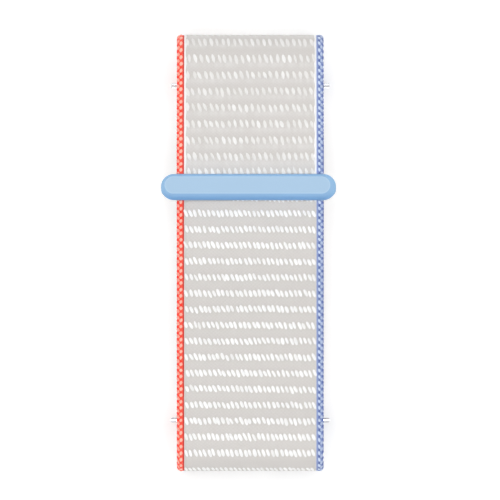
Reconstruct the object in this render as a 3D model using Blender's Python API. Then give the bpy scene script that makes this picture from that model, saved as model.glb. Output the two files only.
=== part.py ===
"""Hook and loop watch strap, closed into a wrist loop and standing on its two lug ends.

Blender 4.5 script. Units are metres, +Z is up and the closure is on top. The strap's width runs
along X and the loop lies in the YZ plane, with the short strap's lug end at +Y. Every fabric piece
is drawn in strip coordinates: a distance along the loop, which is zero at the buckle ring and grows
toward the short strap's lug, and a level outward from the middle of the layer next to the wrist.
"""
import math

import bmesh
import bpy
from mathutils import Matrix, Vector

# Strap webbing
STRAP_WIDTH = 0.0220
STRAP_THICKNESS = 0.0014
PLY_THICKNESS = 0.00055
EDGE_WIDTH = 0.00105
EDGE_GAP = 0.0002
EDGE_ROUND_WIDTH = 0.00035
EDGE_ROUND_SHARE = 0.5
SEWN_GAP = 0.00015
PLY_STEP = 0.0003
RUN_STEP = 0.0017
FOLD_STEPS = 12

# Closed loop
LOOP_SPAN = 0.0657
BAR_INSET = 0.00735
CROWN_RISE = 0.0455
CROWN_RADIUS = 0.1300
CORNER_RADIUS = 0.0060
RING_PLACE = 0.00945

# Lug ends
LUG_FLARE = 0.0040
LUG_PLY_LENGTH = 0.0050
LUG_TAIL_LENGTH = 0.0085
LEVER_NOTCH_WIDTH = 0.0050
LEVER_NOTCH_BEYOND = 0.0024
LEVER_NOTCH_BEHIND = 0.0026
LEVER_NOTCH_DEPTH = 0.0030

# Buckle ring
RING_POST_WIDTH = 0.00185
RING_BAR_WIDTH = 0.00392
RING_BAR_HEIGHT = 0.0012
RING_POST_CLEARANCE = 0.0003
RING_FOOT_WIDTH = 0.0022
RING_FOOT_ROUND = 0.0004
RING_BAR_CLEARANCE = 0.00035
FACE_DROP = 0.0005
FACE_TOP_BORDER = 0.00022
FACE_BOTTOM_BORDER = 0.00092
FACE_END_BORDER = 0.00048
FOLD_ROD_RADIUS = 0.0007
ROD_CLEARANCE = 0.0001
ROD_SEAT = 0.0005
ANCHOR_OFFSET = 0.0003
LAYER_GAP = 0.00025
STADIUM_STEPS = 12
ROD_SIDES = 20

# Short strap between the ring and its lug
TAB_TAIL_LENGTH = 0.0085
TAB_PLY_LENGTH = 0.0018
DESCENT_START = 0.0030
DESCENT_END = 0.0240

# Flap
FLAP_GAP = 0.0003
FLAP_LIE_GAP = 0.00035
FLAP_START = 0.0024
FLAP_SETTLE = 0.0125
FLAP_SPLIT = 0.0370
FLAP_LENGTH = 0.0622
HOOK_RISE_START = 0.0300

# Hook patch
PATCH_INSET = 0.0020
PATCH_SIDE_MARGIN = 0.0005
TAPE_THICKNESS = 0.0003
HOOK_HEIGHT = 0.00045
HOOK_GAP = 0.0001
TAPE_SEAT = 0.0001
HOOK_RAILS = 11
RAIL_STEM = 0.0003
RAIL_HEAD = 0.0008
RAIL_HEAD_HEIGHT = 0.00018
PATCH_STEP = 0.0022

# Pull tab
TAB_LENGTH = 0.0070
TAB_THICKNESS = 0.0010
TAB_CORNER = 0.0040
TAB_RIB_STEP = 0.0012
TAB_RIB_HEIGHT = 0.00025
TAB_RIB_POINTS = 4

# Quick release spring bars
BARREL_RADIUS = 0.0009
BARREL_BORE_RADIUS = 0.00065
BARREL_INSET = 0.0007
BARREL_END_WALL = 0.0004
BARREL_CHAMFER = 0.00015
TIP_RADIUS = 0.0004
TIP_CLEARANCE = 0.0001
TIP_PROTRUSION = 0.0018
TIP_ROUND = 0.0001
SHANK_RADIUS = 0.00055
SHANK_END_GAP = 0.0003
FIXED_SHANK_LENGTH = 0.0030
SLIDING_SHANK_LENGTH = 0.0054
RELEASE_TRAVEL = 0.0016
KNOB_INSET = 0.0035
KNOB_STEM_RADIUS = 0.00025
KNOB_STEM_SEAT = 0.00035
KNOB_HOLE_CLEARANCE = 0.00006
KNOB_HEAD_RADIUS = 0.00075
KNOB_HEAD_HEIGHT = 0.0007
KNOB_HEAD_WAIST = 0.00012
KNOB_HEAD_GAP = 0.00015
SLOT_CLEARANCE = 0.00015
SPRING_RADIUS = 0.0004
SPRING_WIRE_RADIUS = 0.0001
SPRING_PITCH = 0.00075
SPRING_SEAT_GAP = 0.0001
CURL_POINTS = 9
BAR_SIDES = 20
SMALL_SIDES = 14

CUT_OVERRUN = 0.0010
SMOOTH_ANGLE = math.radians(40)

# Levels of the stacked layers at the ring
HALF_STRAP = STRAP_THICKNESS / 2
HALF_PLY = PLY_THICKNESS / 2
FOLD_ROD_LEVEL = HALF_STRAP + ROD_CLEARANCE + FOLD_ROD_RADIUS
FLAP_RING_LEVEL = 2 * FOLD_ROD_LEVEL
TAB_TAIL_LEVEL = FLAP_RING_LEVEL + HALF_STRAP + LAYER_GAP + HALF_PLY
ANCHOR_FOLD_RADIUS = (STRAP_THICKNESS + SEWN_GAP) / 2
ANCHOR_ROD_RADIUS = ANCHOR_FOLD_RADIUS - HALF_PLY - ROD_CLEARANCE
ANCHOR_LEVEL = TAB_TAIL_LEVEL + ANCHOR_FOLD_RADIUS
TAB_PLY_LEVEL = ANCHOR_LEVEL + ANCHOR_FOLD_RADIUS
SHORT_RING_LEVEL = TAB_PLY_LEVEL + HALF_PLY - HALF_STRAP
RING_BAR_LEVEL = TAB_PLY_LEVEL + HALF_PLY + RING_BAR_CLEARANCE

# Levels of the flap over the long strap
FLAP_LOW_LEVEL = STRAP_THICKNESS + FLAP_LIE_GAP
PATCH_TIP_LEVEL = HALF_STRAP + HOOK_GAP
PATCH_BACK_LEVEL = PATCH_TIP_LEVEL + HOOK_HEIGHT + TAPE_THICKNESS
FLAP_PATCH_LEVEL = PATCH_BACK_LEVEL + TAPE_SEAT + HALF_STRAP

# Levels at the lug bars
LUG_FOLD_RADIUS = BARREL_RADIUS + ROD_CLEARANCE + HALF_PLY
LUG_PLY_LEVEL = HALF_STRAP - HALF_PLY
LUG_TAIL_LEVEL = -HALF_STRAP - SEWN_GAP - HALF_PLY
BAR_HEIGHT = LUG_FOLD_RADIUS + HALF_PLY

# Line of the loop, in the YZ plane
BAR_SPACING = LOOP_SPAN - 2 * BAR_INSET
UPPER_SIDE = LOOP_SPAN / 2 - HALF_STRAP
LOWER_SIDE = LOOP_SPAN / 2 - FLAP_PATCH_LEVEL - HALF_STRAP
HALF_SPAN = (UPPER_SIDE + LOWER_SIDE) / 2
CROWN_CENTRE = (UPPER_SIDE - LOWER_SIDE) / 2
CROWN_TOP = BAR_HEIGHT + CROWN_RISE
CROWN_TURN = math.asin((HALF_SPAN - CORNER_RADIUS) / (CROWN_RADIUS - CORNER_RADIUS))
CORNER_DROP = CROWN_RADIUS - (CROWN_RADIUS - CORNER_RADIUS) * math.cos(CROWN_TURN)
RING_ARC = CROWN_RADIUS * math.asin((RING_PLACE - CROWN_CENTRE) / CROWN_RADIUS)

# Widths
WEB_HALF_WIDTH = STRAP_WIDTH / 2 - EDGE_WIDTH - EDGE_GAP
WINDOW_HALF_WIDTH = STRAP_WIDTH / 2 + RING_POST_CLEARANCE
RING_WIDTH = 2 * (WINDOW_HALF_WIDTH + RING_POST_WIDTH)
BARREL_HALF_LENGTH = STRAP_WIDTH / 2 - BARREL_INSET
KNOB_PLACE = BARREL_HALF_LENGTH - KNOB_INSET
SHANK_END = BARREL_HALF_LENGTH - BARREL_END_WALL - SHANK_END_GAP
FIXED_SHANK_START = SHANK_END - FIXED_SHANK_LENGTH
SLIDING_SHANK_START = SHANK_END - SLIDING_SHANK_LENGTH
TIP_END = BARREL_HALF_LENGTH + TIP_PROTRUSION


def side_stretches(side):
    """Lengths and curvatures from the crown's top to one lug: crown, corner and leg."""
    leg_drop = CROWN_RISE - CORNER_DROP
    leg_inset = (UPPER_SIDE if side > 0 else LOWER_SIDE) - BAR_SPACING / 2
    leg_turn = 2 * math.atan2(leg_inset, leg_drop)
    chord = math.hypot(leg_inset, leg_drop)
    leg_length = chord * (leg_turn / 2 / math.sin(leg_turn / 2) if leg_turn else 1)
    return [
        (CROWN_RADIUS * CROWN_TURN, 1 / CROWN_RADIUS),
        (CORNER_RADIUS * (math.pi / 2 - CROWN_TURN), 1 / CORNER_RADIUS),
        (leg_length, leg_turn / leg_length),
    ]


STRETCHES = {1: side_stretches(1), -1: side_stretches(-1)}
UPPER_BAR = sum(length for length, _ in STRETCHES[1]) - RING_ARC
LOWER_BAR = -sum(length for length, _ in STRETCHES[-1]) - RING_ARC


def walk(distance, stretches):
    """Distance out, drop and turned angle after a walk along stretches of constant curvature."""
    out = 0
    drop = 0
    turned = 0
    for index, (length, curvature) in enumerate(stretches):
        is_last = index == len(stretches) - 1
        step = distance if is_last else min(distance, length)
        half_turn = step * curvature / 2
        chord = step * (math.sin(half_turn) / half_turn if half_turn else 1)
        out += chord * math.cos(turned + half_turn)
        drop += chord * math.sin(turned + half_turn)
        turned += 2 * half_turn
        distance -= step
    return out, drop, turned


def on_loop(station, level, x=0):
    """World point at a distance along the loop, a level outward from it and a place across."""
    along = station + RING_ARC
    side = 1 if along >= 0 else -1
    out, drop, turned = walk(abs(along), STRETCHES[side])
    y = CROWN_CENTRE + side * (out + level * math.sin(turned))
    return Vector((x, y, CROWN_TOP - drop + level * math.cos(turned)))


def lean(station):
    """Turn about X that sets local Z square to the loop and local Y along it at a station."""
    along = station + RING_ARC
    side = 1 if along >= 0 else -1
    return -side * walk(abs(along), STRETCHES[side])[2]


def eased(station, start, end, first, last):
    """Level that goes smoothly from first to last between two stations and is level outside."""
    share = min(max((station - start) / (end - start), 0), 1)
    return first + (last - first) * share * share * (3 - 2 * share)


def short_level(station):
    return eased(station, DESCENT_START, DESCENT_END, SHORT_RING_LEVEL, 0)


def flap_level(station):
    down = eased(-station, FLAP_START, FLAP_SETTLE, FLAP_RING_LEVEL, FLAP_LOW_LEVEL)
    rise = eased(-station, HOOK_RISE_START, FLAP_SPLIT, 0, FLAP_PATCH_LEVEL - FLAP_LOW_LEVEL)
    return down + rise


def inner_level(station):
    return 0


def stations(start, end, step=RUN_STEP):
    """Evenly spaced distances along the loop, both ends included."""
    count = max(1, math.ceil(abs(end - start) / step))
    return [start + (end - start) * index / count for index in range(count + 1)]


def flat(places, level, half):
    """Pairs of strip points half a thickness above and below a level."""
    return [((place, level(place) + half), (place, level(place) - half)) for place in places]


def fold(centre, radius, half, start, end):
    """Pairs of strip points outside and inside an arc round a rod."""
    pairs = []
    for index in range(FOLD_STEPS + 1):
        angle = start + (end - start) * index / FOLD_STEPS
        along = math.cos(angle)
        out = math.sin(angle)
        pairs.append(tuple(
            (centre[0] + reach * along, centre[1] + reach * out)
            for reach in (radius + half, radius - half)
        ))
    return pairs


def lug_end(bar, side, half):
    """Pairs of one ply that leaves the webbing, goes round a lug bar and ends in a sewn tail."""
    ply_start = bar - side * LUG_PLY_LENGTH
    flare_start = bar - side * LUG_FLARE
    tail_end = bar - side * LUG_TAIL_LENGTH

    def ply_level(place):
        return eased(side * place, side * flare_start, side * bar, LUG_PLY_LEVEL, LUG_FOLD_RADIUS)

    def tail_level(place):
        return eased(side * place, side * flare_start, side * bar, LUG_TAIL_LEVEL, -LUG_FOLD_RADIUS)

    ply = flat(stations(ply_start, bar), ply_level, half)
    quarter = math.pi / 2
    turn = fold((bar, 0), LUG_FOLD_RADIUS, half, quarter, quarter - side * math.pi)
    tail = flat(stations(bar, tail_end), tail_level, -half)
    return ply[:-1] + turn + tail[1:]


def short_strap_pairs():
    """Short strap: tab round the anchor rod, webbing down to the lug and lug end."""
    anchor = (ANCHOR_OFFSET, ANCHOR_LEVEL)
    tail = flat(
        stations(ANCHOR_OFFSET + TAB_TAIL_LENGTH, ANCHOR_OFFSET),
        lambda place: short_level(place) - HALF_STRAP - SEWN_GAP - HALF_PLY,
        -HALF_PLY,
    )
    turn = fold(anchor, ANCHOR_FOLD_RADIUS, HALF_PLY, -math.pi / 2, -3 * math.pi / 2)
    ply_end = ANCHOR_OFFSET + TAB_PLY_LENGTH
    ply = flat(stations(ANCHOR_OFFSET, ply_end), lambda place: TAB_PLY_LEVEL, HALF_PLY)
    web = flat(
        stations(ply_end + PLY_STEP, UPPER_BAR - LUG_PLY_LENGTH - PLY_STEP),
        short_level,
        HALF_STRAP,
    )
    return tail[:-1] + turn + ply[1:] + web + lug_end(UPPER_BAR, 1, HALF_PLY)


def long_strap_pairs():
    """Long strap: end of the fold round the ring's rod, wrist layer and lug end."""
    top = flat(stations(FLAP_GAP - FLAP_START, 0), lambda place: FLAP_RING_LEVEL, HALF_STRAP)
    turn = fold((0, FOLD_ROD_LEVEL), FOLD_ROD_LEVEL, HALF_STRAP, math.pi / 2, -math.pi / 2)
    web = flat(stations(0, LOWER_BAR + LUG_PLY_LENGTH + PLY_STEP), inner_level, -HALF_STRAP)
    return top[:-1] + turn + web[1:] + lug_end(LOWER_BAR, -1, -HALF_PLY)


def flap_pairs(start, end):
    """Flap between two distances from the ring."""
    return flat(stations(-start, -end), flap_level, HALF_STRAP)


def srgb(code):
    """Linear colour of a hex code."""
    values = [int(code[place:place + 2], 16) / 255 for place in (1, 3, 5)]
    return [v / 12.92 if v <= 0.04045 else ((v + 0.055) / 1.055) ** 2.4 for v in values]


def make_material(name, colour, roughness, metallic=0.0):
    """Principled material of one colour."""
    material = bpy.data.materials.new(name)
    material.use_nodes = True
    shader = material.node_tree.nodes["Principled BSDF"]
    shader.inputs["Base Color"].default_value = (*srgb(colour), 1)
    shader.inputs["Roughness"].default_value = roughness
    shader.inputs["Metallic"].default_value = metallic
    material.diffuse_color = (*srgb(colour), 1)
    return material


def add_piece(name, mesh, material, placement=None):
    """Object from a mesh in its own frame, smooth apart from its sharp edges."""
    piece = bpy.data.objects.new(name, mesh)
    bpy.context.scene.collection.objects.link(piece)
    if not mesh.materials:
        mesh.materials.append(material)
        mesh.shade_smooth()
        mesh.set_sharp_from_angle(angle=SMOOTH_ANGLE)
    piece.matrix_world = placement or Matrix.Identity(4)
    return piece


def finish_mesh(name, bm, pivot=None):
    """Mesh from a bmesh, with its faces pointing out and its points measured from a pivot."""
    bmesh.ops.recalc_face_normals(bm, faces=bm.faces)
    if pivot is not None:
        bmesh.ops.translate(bm, verts=bm.verts, vec=-pivot)
    mesh = bpy.data.meshes.new(name)
    bm.to_mesh(mesh)
    bm.free()
    return mesh


def skin(bm, loops, closed=False):
    """Faces between rows of points; the rows are closed loops when asked."""
    for first, second in zip(loops, loops[1:]):
        count = len(first)
        for index in range(count if closed else count - 1):
            after = (index + 1) % count
            bm.faces.new((first[index], first[after], second[after], second[index]))


def ribbon(pairs, sections):
    """Closed strip: pairs of strip points swept through sections of place across and thickness."""
    bm = bmesh.new()
    rows = []
    for x, share in sections:
        above = []
        below = []
        for outer, inner in pairs:
            middle = [(a + b) / 2 for a, b in zip(outer, inner)]
            for row, point in ((above, outer), (below, inner)):
                place, level = (m + (p - m) * share for m, p in zip(middle, point))
                row.append(bm.verts.new(on_loop(place, level, x)))
        rows.append(above + below[::-1])
    skin(bm, rows, closed=True)
    last = len(pairs) - 1
    for row in (rows[0], rows[-1]):
        above = row[:last + 1]
        below = row[:last:-1]
        skin(bm, [above, below])
    return bm


def webbing(name, pairs, pivot, materials):
    """Woven web and its red and blue edges along one strip."""
    strap_edge = STRAP_WIDTH / 2
    edge_start = strap_edge - EDGE_WIDTH
    edge_sections = [
        (edge_start, 1),
        (strap_edge - EDGE_ROUND_WIDTH, 1),
        (strap_edge, EDGE_ROUND_SHARE),
    ]
    pieces = {
        "web": [(-WEB_HALF_WIDTH, 1), (WEB_HALF_WIDTH, 1)],
        "red_edge": [(-x, share) for x, share in edge_sections],
        "blue_edge": edge_sections,
    }
    placement = Matrix.Translation(pivot)
    made = {}
    for part, sections in pieces.items():
        full_name = f"{name}_{part}"
        mesh = finish_mesh(full_name, ribbon(pairs, sections), pivot)
        made[part] = add_piece(full_name, mesh, materials[part], placement)
    return made


def add_cutter(name, mesh, placement):
    """Guide shape that cuts or joins a piece and isn't part of the model."""
    cutter = bpy.data.objects.new(name, mesh)
    bpy.context.scene.collection.objects.link(cutter)
    cutter.matrix_world = placement
    cutter.hide_render = True
    cutter.display_type = "WIRE"
    return cutter


def combine(piece, cutter, operation):
    """Exact Boolean between a piece and a guide shape."""
    modifier = piece.modifiers.new(cutter.name, "BOOLEAN")
    modifier.operation = operation
    modifier.solver = "EXACT"
    modifier.object = cutter


def box_mesh(name, low, high):
    """Box between two corners."""
    bm = bmesh.new()
    bmesh.ops.create_cube(bm, size=1)
    for vert in bm.verts:
        vert.co = Vector(b if c > 0 else a for a, b, c in zip(low, high, vert.co))
    return finish_mesh(name, bm)


def turned_mesh(name, profile, sides, closed=False):
    """Solid turned about X from points of place along X and radius; a closed profile is a tube."""
    bm = bmesh.new()
    rings = []
    for x, radius in profile:
        count = sides if radius else 1
        angles = [2 * math.pi * index / sides for index in range(count)]
        rings.append([
            bm.verts.new((x, radius * math.cos(angle), radius * math.sin(angle)))
            for angle in angles
        ])
    couples = list(zip(rings, rings[1:]))
    if closed:
        couples.append((rings[-1], rings[0]))
    for first, second in couples:
        for index in range(sides):
            after = (index + 1) % sides
            corners = [first[index % len(first)], first[after % len(first)]]
            corners += [second[after % len(second)], second[index % len(second)]]
            bm.faces.new(dict.fromkeys(corners))
    return finish_mesh(name, bm)


def stadium(length, width, offset, level):
    """Outline with round ends: overall length along X, width along Y, centre shifted along Y."""
    radius = width / 2
    points = []
    for side in (1, -1):
        for index in range(STADIUM_STEPS + 1):
            angle = side * math.pi / 2 - math.pi * index / STADIUM_STEPS
            centre = side * (length / 2 - radius)
            points.append(Vector((
                centre + radius * math.cos(angle),
                offset + radius * math.sin(angle),
                level,
            )))
    return points


def ring_frame_mesh():
    """Ring blank lofted from round-ended outlines, foot to bevelled face; levels from the rod."""
    foot = FOLD_ROD_LEVEL - RING_FOOT_WIDTH / 2
    wall_top = RING_BAR_LEVEL + RING_BAR_HEIGHT - FACE_DROP
    face_width = RING_BAR_WIDTH - FACE_TOP_BORDER - FACE_BOTTOM_BORDER
    outlines = [
        (RING_WIDTH - 2 * RING_FOOT_ROUND, RING_FOOT_WIDTH - 2 * RING_FOOT_ROUND, 0, foot),
        (RING_WIDTH, RING_FOOT_WIDTH, 0, foot + RING_FOOT_ROUND),
        (RING_WIDTH, RING_BAR_WIDTH, 0, RING_BAR_LEVEL),
        (RING_WIDTH, RING_BAR_WIDTH, 0, wall_top),
        (
            RING_WIDTH - 2 * FACE_END_BORDER,
            face_width,
            (FACE_BOTTOM_BORDER - FACE_TOP_BORDER) / 2,
            wall_top + FACE_DROP,
        ),
    ]
    bm = bmesh.new()
    loops = [[bm.verts.new(point) for point in stadium(*outline)] for outline in outlines]
    skin(bm, loops, closed=True)
    bm.faces.new(loops[0])
    bm.faces.new(loops[-1])
    pivot = Vector((0, ANCHOR_OFFSET, ANCHOR_LEVEL))
    return finish_mesh("buckle_ring", bm, pivot)


def build_ring(material):
    """One-piece ring: outer bar, two posts, anchor rod and fold rod, pivoting on the anchor rod."""
    placement = strip_frame(0, ANCHOR_OFFSET, ANCHOR_LEVEL)
    ring = add_piece("buckle_ring", ring_frame_mesh(), material, placement)
    window = box_mesh(
        "ring_window",
        (-WINDOW_HALF_WIDTH, -RING_BAR_WIDTH, -ANCHOR_LEVEL - CUT_OVERRUN),
        (WINDOW_HALF_WIDTH, RING_BAR_WIDTH, RING_BAR_LEVEL - ANCHOR_LEVEL),
    )
    combine(ring, add_cutter("ring_window", window, placement), "DIFFERENCE")
    rod_end = WINDOW_HALF_WIDTH + ROD_SEAT
    rods = {
        "anchor_rod": (ANCHOR_ROD_RADIUS, ANCHOR_OFFSET, ANCHOR_LEVEL),
        "fold_rod": (FOLD_ROD_RADIUS, 0, FOLD_ROD_LEVEL),
    }
    for name, (radius, offset, level) in rods.items():
        profile = [(-rod_end, 0), (-rod_end, radius), (rod_end, radius), (rod_end, 0)]
        rod = turned_mesh(name, profile, ROD_SIDES)
        combine(ring, add_cutter(name, rod, strip_frame(0, offset, level)), "UNION")
    return ring


def strip_frame(station, offset, level):
    """Placement whose X is across, Y along and Z out of the loop at a station."""
    turn = Matrix.Rotation(lean(station), 4, "X")
    point = on_loop(station, 0) + turn @ Vector((0, offset, level))
    return Matrix.Translation(point) @ turn


def bar_frame(bar, side):
    """Placement of a lug bar; the lower bar is turned end for end, so its lever is at -X."""
    placement = strip_frame(bar, 0, 0)
    if side < 0:
        placement = placement @ Matrix.Rotation(math.pi, 4, "Z")
    return placement


def cut_lever_notch(web, bar, side):
    """Window in the lug fold on the wrist side, where the release knob is reached."""
    middle = KNOB_PLACE - RELEASE_TRAVEL / 2
    top = LUG_TAIL_LEVEL + HALF_PLY + SEWN_GAP / 2
    mesh = box_mesh(
        f"{web.name}_notch",
        (middle - LEVER_NOTCH_WIDTH / 2, -LEVER_NOTCH_BEHIND, top - LEVER_NOTCH_DEPTH),
        (middle + LEVER_NOTCH_WIDTH / 2, LEVER_NOTCH_BEYOND, top),
    )
    cutter = add_cutter(f"{web.name}_notch", mesh, bar_frame(bar, side))
    combine(web, cutter, "DIFFERENCE")


def barrel_mesh():
    """Tube with end walls that hold the tips in."""
    end = BARREL_HALF_LENGTH
    wall = end - BARREL_END_WALL
    hole = TIP_RADIUS + TIP_CLEARANCE
    half = [
        (wall, BARREL_BORE_RADIUS),
        (wall, hole),
        (end, hole),
        (end, BARREL_RADIUS - BARREL_CHAMFER),
        (end - BARREL_CHAMFER, BARREL_RADIUS),
    ]
    profile = half + [(-x, radius) for x, radius in reversed(half)]
    return turned_mesh("bar_barrel", profile, BAR_SIDES, closed=True)


def tip_mesh(name, shank_start):
    """Stepped pin: a shank that slides in the bore and a thin tip that enters the lug."""
    profile = [
        (shank_start, 0),
        (shank_start, SHANK_RADIUS),
        (SHANK_END, SHANK_RADIUS),
        (SHANK_END, TIP_RADIUS),
        (TIP_END - TIP_ROUND, TIP_RADIUS),
        (TIP_END, TIP_RADIUS - TIP_ROUND),
        (TIP_END, 0),
    ]
    return turned_mesh(name, profile, SMALL_SIDES)


def knob_mesh():
    """Release knob: a stem into the sliding pin and a waisted head, turned about its own axis."""
    head = BARREL_RADIUS + KNOB_HEAD_GAP
    middle = head + KNOB_HEAD_HEIGHT / 2
    end = head + KNOB_HEAD_HEIGHT
    waist = KNOB_HEAD_RADIUS - KNOB_HEAD_WAIST
    profile = [
        (SHANK_RADIUS - KNOB_STEM_SEAT, 0),
        (SHANK_RADIUS - KNOB_STEM_SEAT, KNOB_STEM_RADIUS),
        (head, KNOB_STEM_RADIUS),
        (head, KNOB_HEAD_RADIUS),
        (middle, waist),
        (end, KNOB_HEAD_RADIUS),
        (end, 0),
    ]
    return turned_mesh("release_knob", profile, SMALL_SIDES)


def spring_points():
    """Points of the coil's line: a helix about X with a short straight run at each end."""
    start = -FIXED_SHANK_START + SPRING_SEAT_GAP
    end = SLIDING_SHANK_START - SPRING_SEAT_GAP
    run = 2 * SPRING_WIRE_RADIUS
    turns = round((end - start - 2 * run) / SPRING_PITCH)
    count = turns * CURL_POINTS
    coil = []
    for index in range(count + 1):
        angle = 2 * math.pi * index / CURL_POINTS
        x = start + run + (end - start - 2 * run) * index / count
        coil.append((x, SPRING_RADIUS * math.cos(angle), SPRING_RADIUS * math.sin(angle)))
    first = (start, *coil[0][1:])
    last = (end, *coil[-1][1:])
    return [first, *coil, last]


def print_spring_gap(points):
    """Least clear distance between turns of the coil, measured on its points."""
    line = [Vector(point) for point in points]
    apart = CURL_POINTS // 2 + 1
    least = min(
        (a - b).length
        for index, a in enumerate(line)
        for b in line[index + apart:]
    )
    turn_gap = SPRING_PITCH - 2 * SPRING_WIRE_RADIUS
    least_gap = min(least - 2 * SPRING_WIRE_RADIUS, turn_gap)
    print(f"Least gap between spring turns: {least_gap * 1000:.3f} mm")


def add_spring(name, points, material, placement):
    """Coil spring as one bevelled line."""
    curve = bpy.data.curves.new(name, "CURVE")
    curve.dimensions = "3D"
    curve.bevel_depth = SPRING_WIRE_RADIUS
    curve.bevel_resolution = 1
    curve.use_fill_caps = True
    spline = curve.splines.new("POLY")
    spline.points.add(len(points) - 1)
    for spline_point, point in zip(spline.points, points):
        spline_point.co = (*point, 1)
    curve.materials.append(material)
    piece = bpy.data.objects.new(name, curve)
    bpy.context.scene.collection.objects.link(piece)
    piece.matrix_world = placement
    return piece


def build_bars(steel, spring_steel):
    """Two quick release bars, each with a barrel, fixed tip, sliding pin, knob and spring."""
    barrel = barrel_mesh()
    fixed = tip_mesh("bar_fixed_tip", FIXED_SHANK_START)
    sliding = tip_mesh("bar_sliding_pin", SLIDING_SHANK_START)
    knob = knob_mesh()
    points = spring_points()
    print_spring_gap(points)
    slot_reach = KNOB_STEM_RADIUS + SLOT_CLEARANCE
    slot = box_mesh(
        "release_slot",
        (KNOB_PLACE - RELEASE_TRAVEL - slot_reach, -slot_reach, -BARREL_RADIUS - CUT_OVERRUN),
        (KNOB_PLACE + slot_reach, slot_reach, 0),
    )
    hole_depth = SHANK_RADIUS - KNOB_STEM_SEAT - KNOB_HOLE_CLEARANCE
    hole_radius = KNOB_STEM_RADIUS + KNOB_HOLE_CLEARANCE
    hole_end = SHANK_RADIUS + CUT_OVERRUN
    hole = turned_mesh(
        "knob_hole",
        [(hole_depth, 0), (hole_depth, hole_radius), (hole_end, hole_radius), (hole_end, 0)],
        SMALL_SIDES,
    )
    end_for_end = Matrix.Rotation(math.pi, 4, "Z")
    knob_seat = Matrix.Translation((KNOB_PLACE, 0, 0)) @ Matrix.Rotation(math.pi / 2, 4, "Y")
    for name, bar, side in (("upper_bar", UPPER_BAR, 1), ("lower_bar", LOWER_BAR, -1)):
        placement = bar_frame(bar, side)
        tube = add_piece(f"{name}_barrel", barrel, steel, placement)
        combine(tube, add_cutter(f"{name}_slot", slot, placement), "DIFFERENCE")
        add_piece(f"{name}_fixed_tip", fixed, steel, placement @ end_for_end)
        pin = add_piece(f"{name}_sliding_pin", sliding, steel, placement)
        combine(pin, add_cutter(f"{name}_knob_hole", hole, placement @ knob_seat), "DIFFERENCE")
        add_piece(f"{name}_release_knob", knob, steel, placement @ knob_seat)
        add_spring(f"{name}_spring", points, spring_steel, placement)


def patch_profile():
    """Outline of the hook tape in place across and level: a tape with mushroom rails under it."""
    half_width = WEB_HALF_WIDTH - PATCH_SIDE_MARGIN
    face = PATCH_BACK_LEVEL - TAPE_THICKNESS
    neck = PATCH_TIP_LEVEL + RAIL_HEAD_HEIGHT
    pitch = (2 * half_width - RAIL_HEAD) / (HOOK_RAILS - 1)
    outline = [(half_width, PATCH_BACK_LEVEL), (-half_width, PATCH_BACK_LEVEL), (-half_width, face)]
    for index in range(HOOK_RAILS):
        middle = -half_width + RAIL_HEAD / 2 + pitch * index
        stem = RAIL_STEM / 2
        head = RAIL_HEAD / 2
        outline += [
            (middle - stem, face),
            (middle - head, neck),
            (middle - stem, PATCH_TIP_LEVEL),
            (middle + stem, PATCH_TIP_LEVEL),
            (middle + head, neck),
            (middle + stem, face),
        ]
    outline.append((half_width, face))
    return outline


def build_hook_patch(material, pivot):
    """Hook tape sewn under the flap's tip; its rails run along the strap."""
    start = FLAP_SPLIT + PATCH_INSET
    end = FLAP_LENGTH - PATCH_INSET
    bm = bmesh.new()
    rows = []
    for place in stations(-start, -end, PATCH_STEP):
        rows.append([bm.verts.new(on_loop(place, level, x)) for x, level in patch_profile()])
    skin(bm, rows, closed=True)
    bm.faces.new(rows[0])
    bm.faces.new(rows[-1])
    mesh = finish_mesh("hook_patch", bm, pivot)
    return add_piece("hook_patch", mesh, material, Matrix.Translation(pivot))


def tab_half_width(place, end):
    """Half the pull tab's width, with its two free corners rounded."""
    reach = TAB_CORNER - (end - place)
    inset = TAB_CORNER - math.sqrt(max(TAB_CORNER ** 2 - max(reach, 0) ** 2, 0))
    return STRAP_WIDTH / 2 - inset


def build_pull_tab(material, pivot):
    """Moulded grip at the flap's free end, with cross ribs on its outer face."""
    start = FLAP_LENGTH + FLAP_GAP
    end = start + TAB_LENGTH
    last_rib = end - TAB_CORNER / 2
    bm = bmesh.new()
    rows = []
    for place in stations(start, end, TAB_RIB_STEP / TAB_RIB_POINTS):
        half_width = tab_half_width(place, end)
        wave = 0.5 - 0.5 * math.cos(2 * math.pi * (place - start) / TAB_RIB_STEP)
        rib = TAB_RIB_HEIGHT * wave if place < last_rib else 0
        above = FLAP_PATCH_LEVEL + TAB_THICKNESS / 2 - TAB_RIB_HEIGHT + rib
        below = FLAP_PATCH_LEVEL - TAB_THICKNESS / 2
        corners = [(half_width, above), (-half_width, above), (-half_width, below)]
        corners.append((half_width, below))
        rows.append([bm.verts.new(on_loop(-place, level, x)) for x, level in corners])
    skin(bm, rows, closed=True)
    bm.faces.new(rows[0])
    bm.faces.new(rows[-1])
    mesh = finish_mesh("pull_tab", bm, pivot)
    return add_piece("pull_tab", mesh, material, Matrix.Translation(pivot))


def clear_scene():
    for piece in list(bpy.data.objects):
        bpy.data.objects.remove(piece, do_unlink=True)


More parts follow.
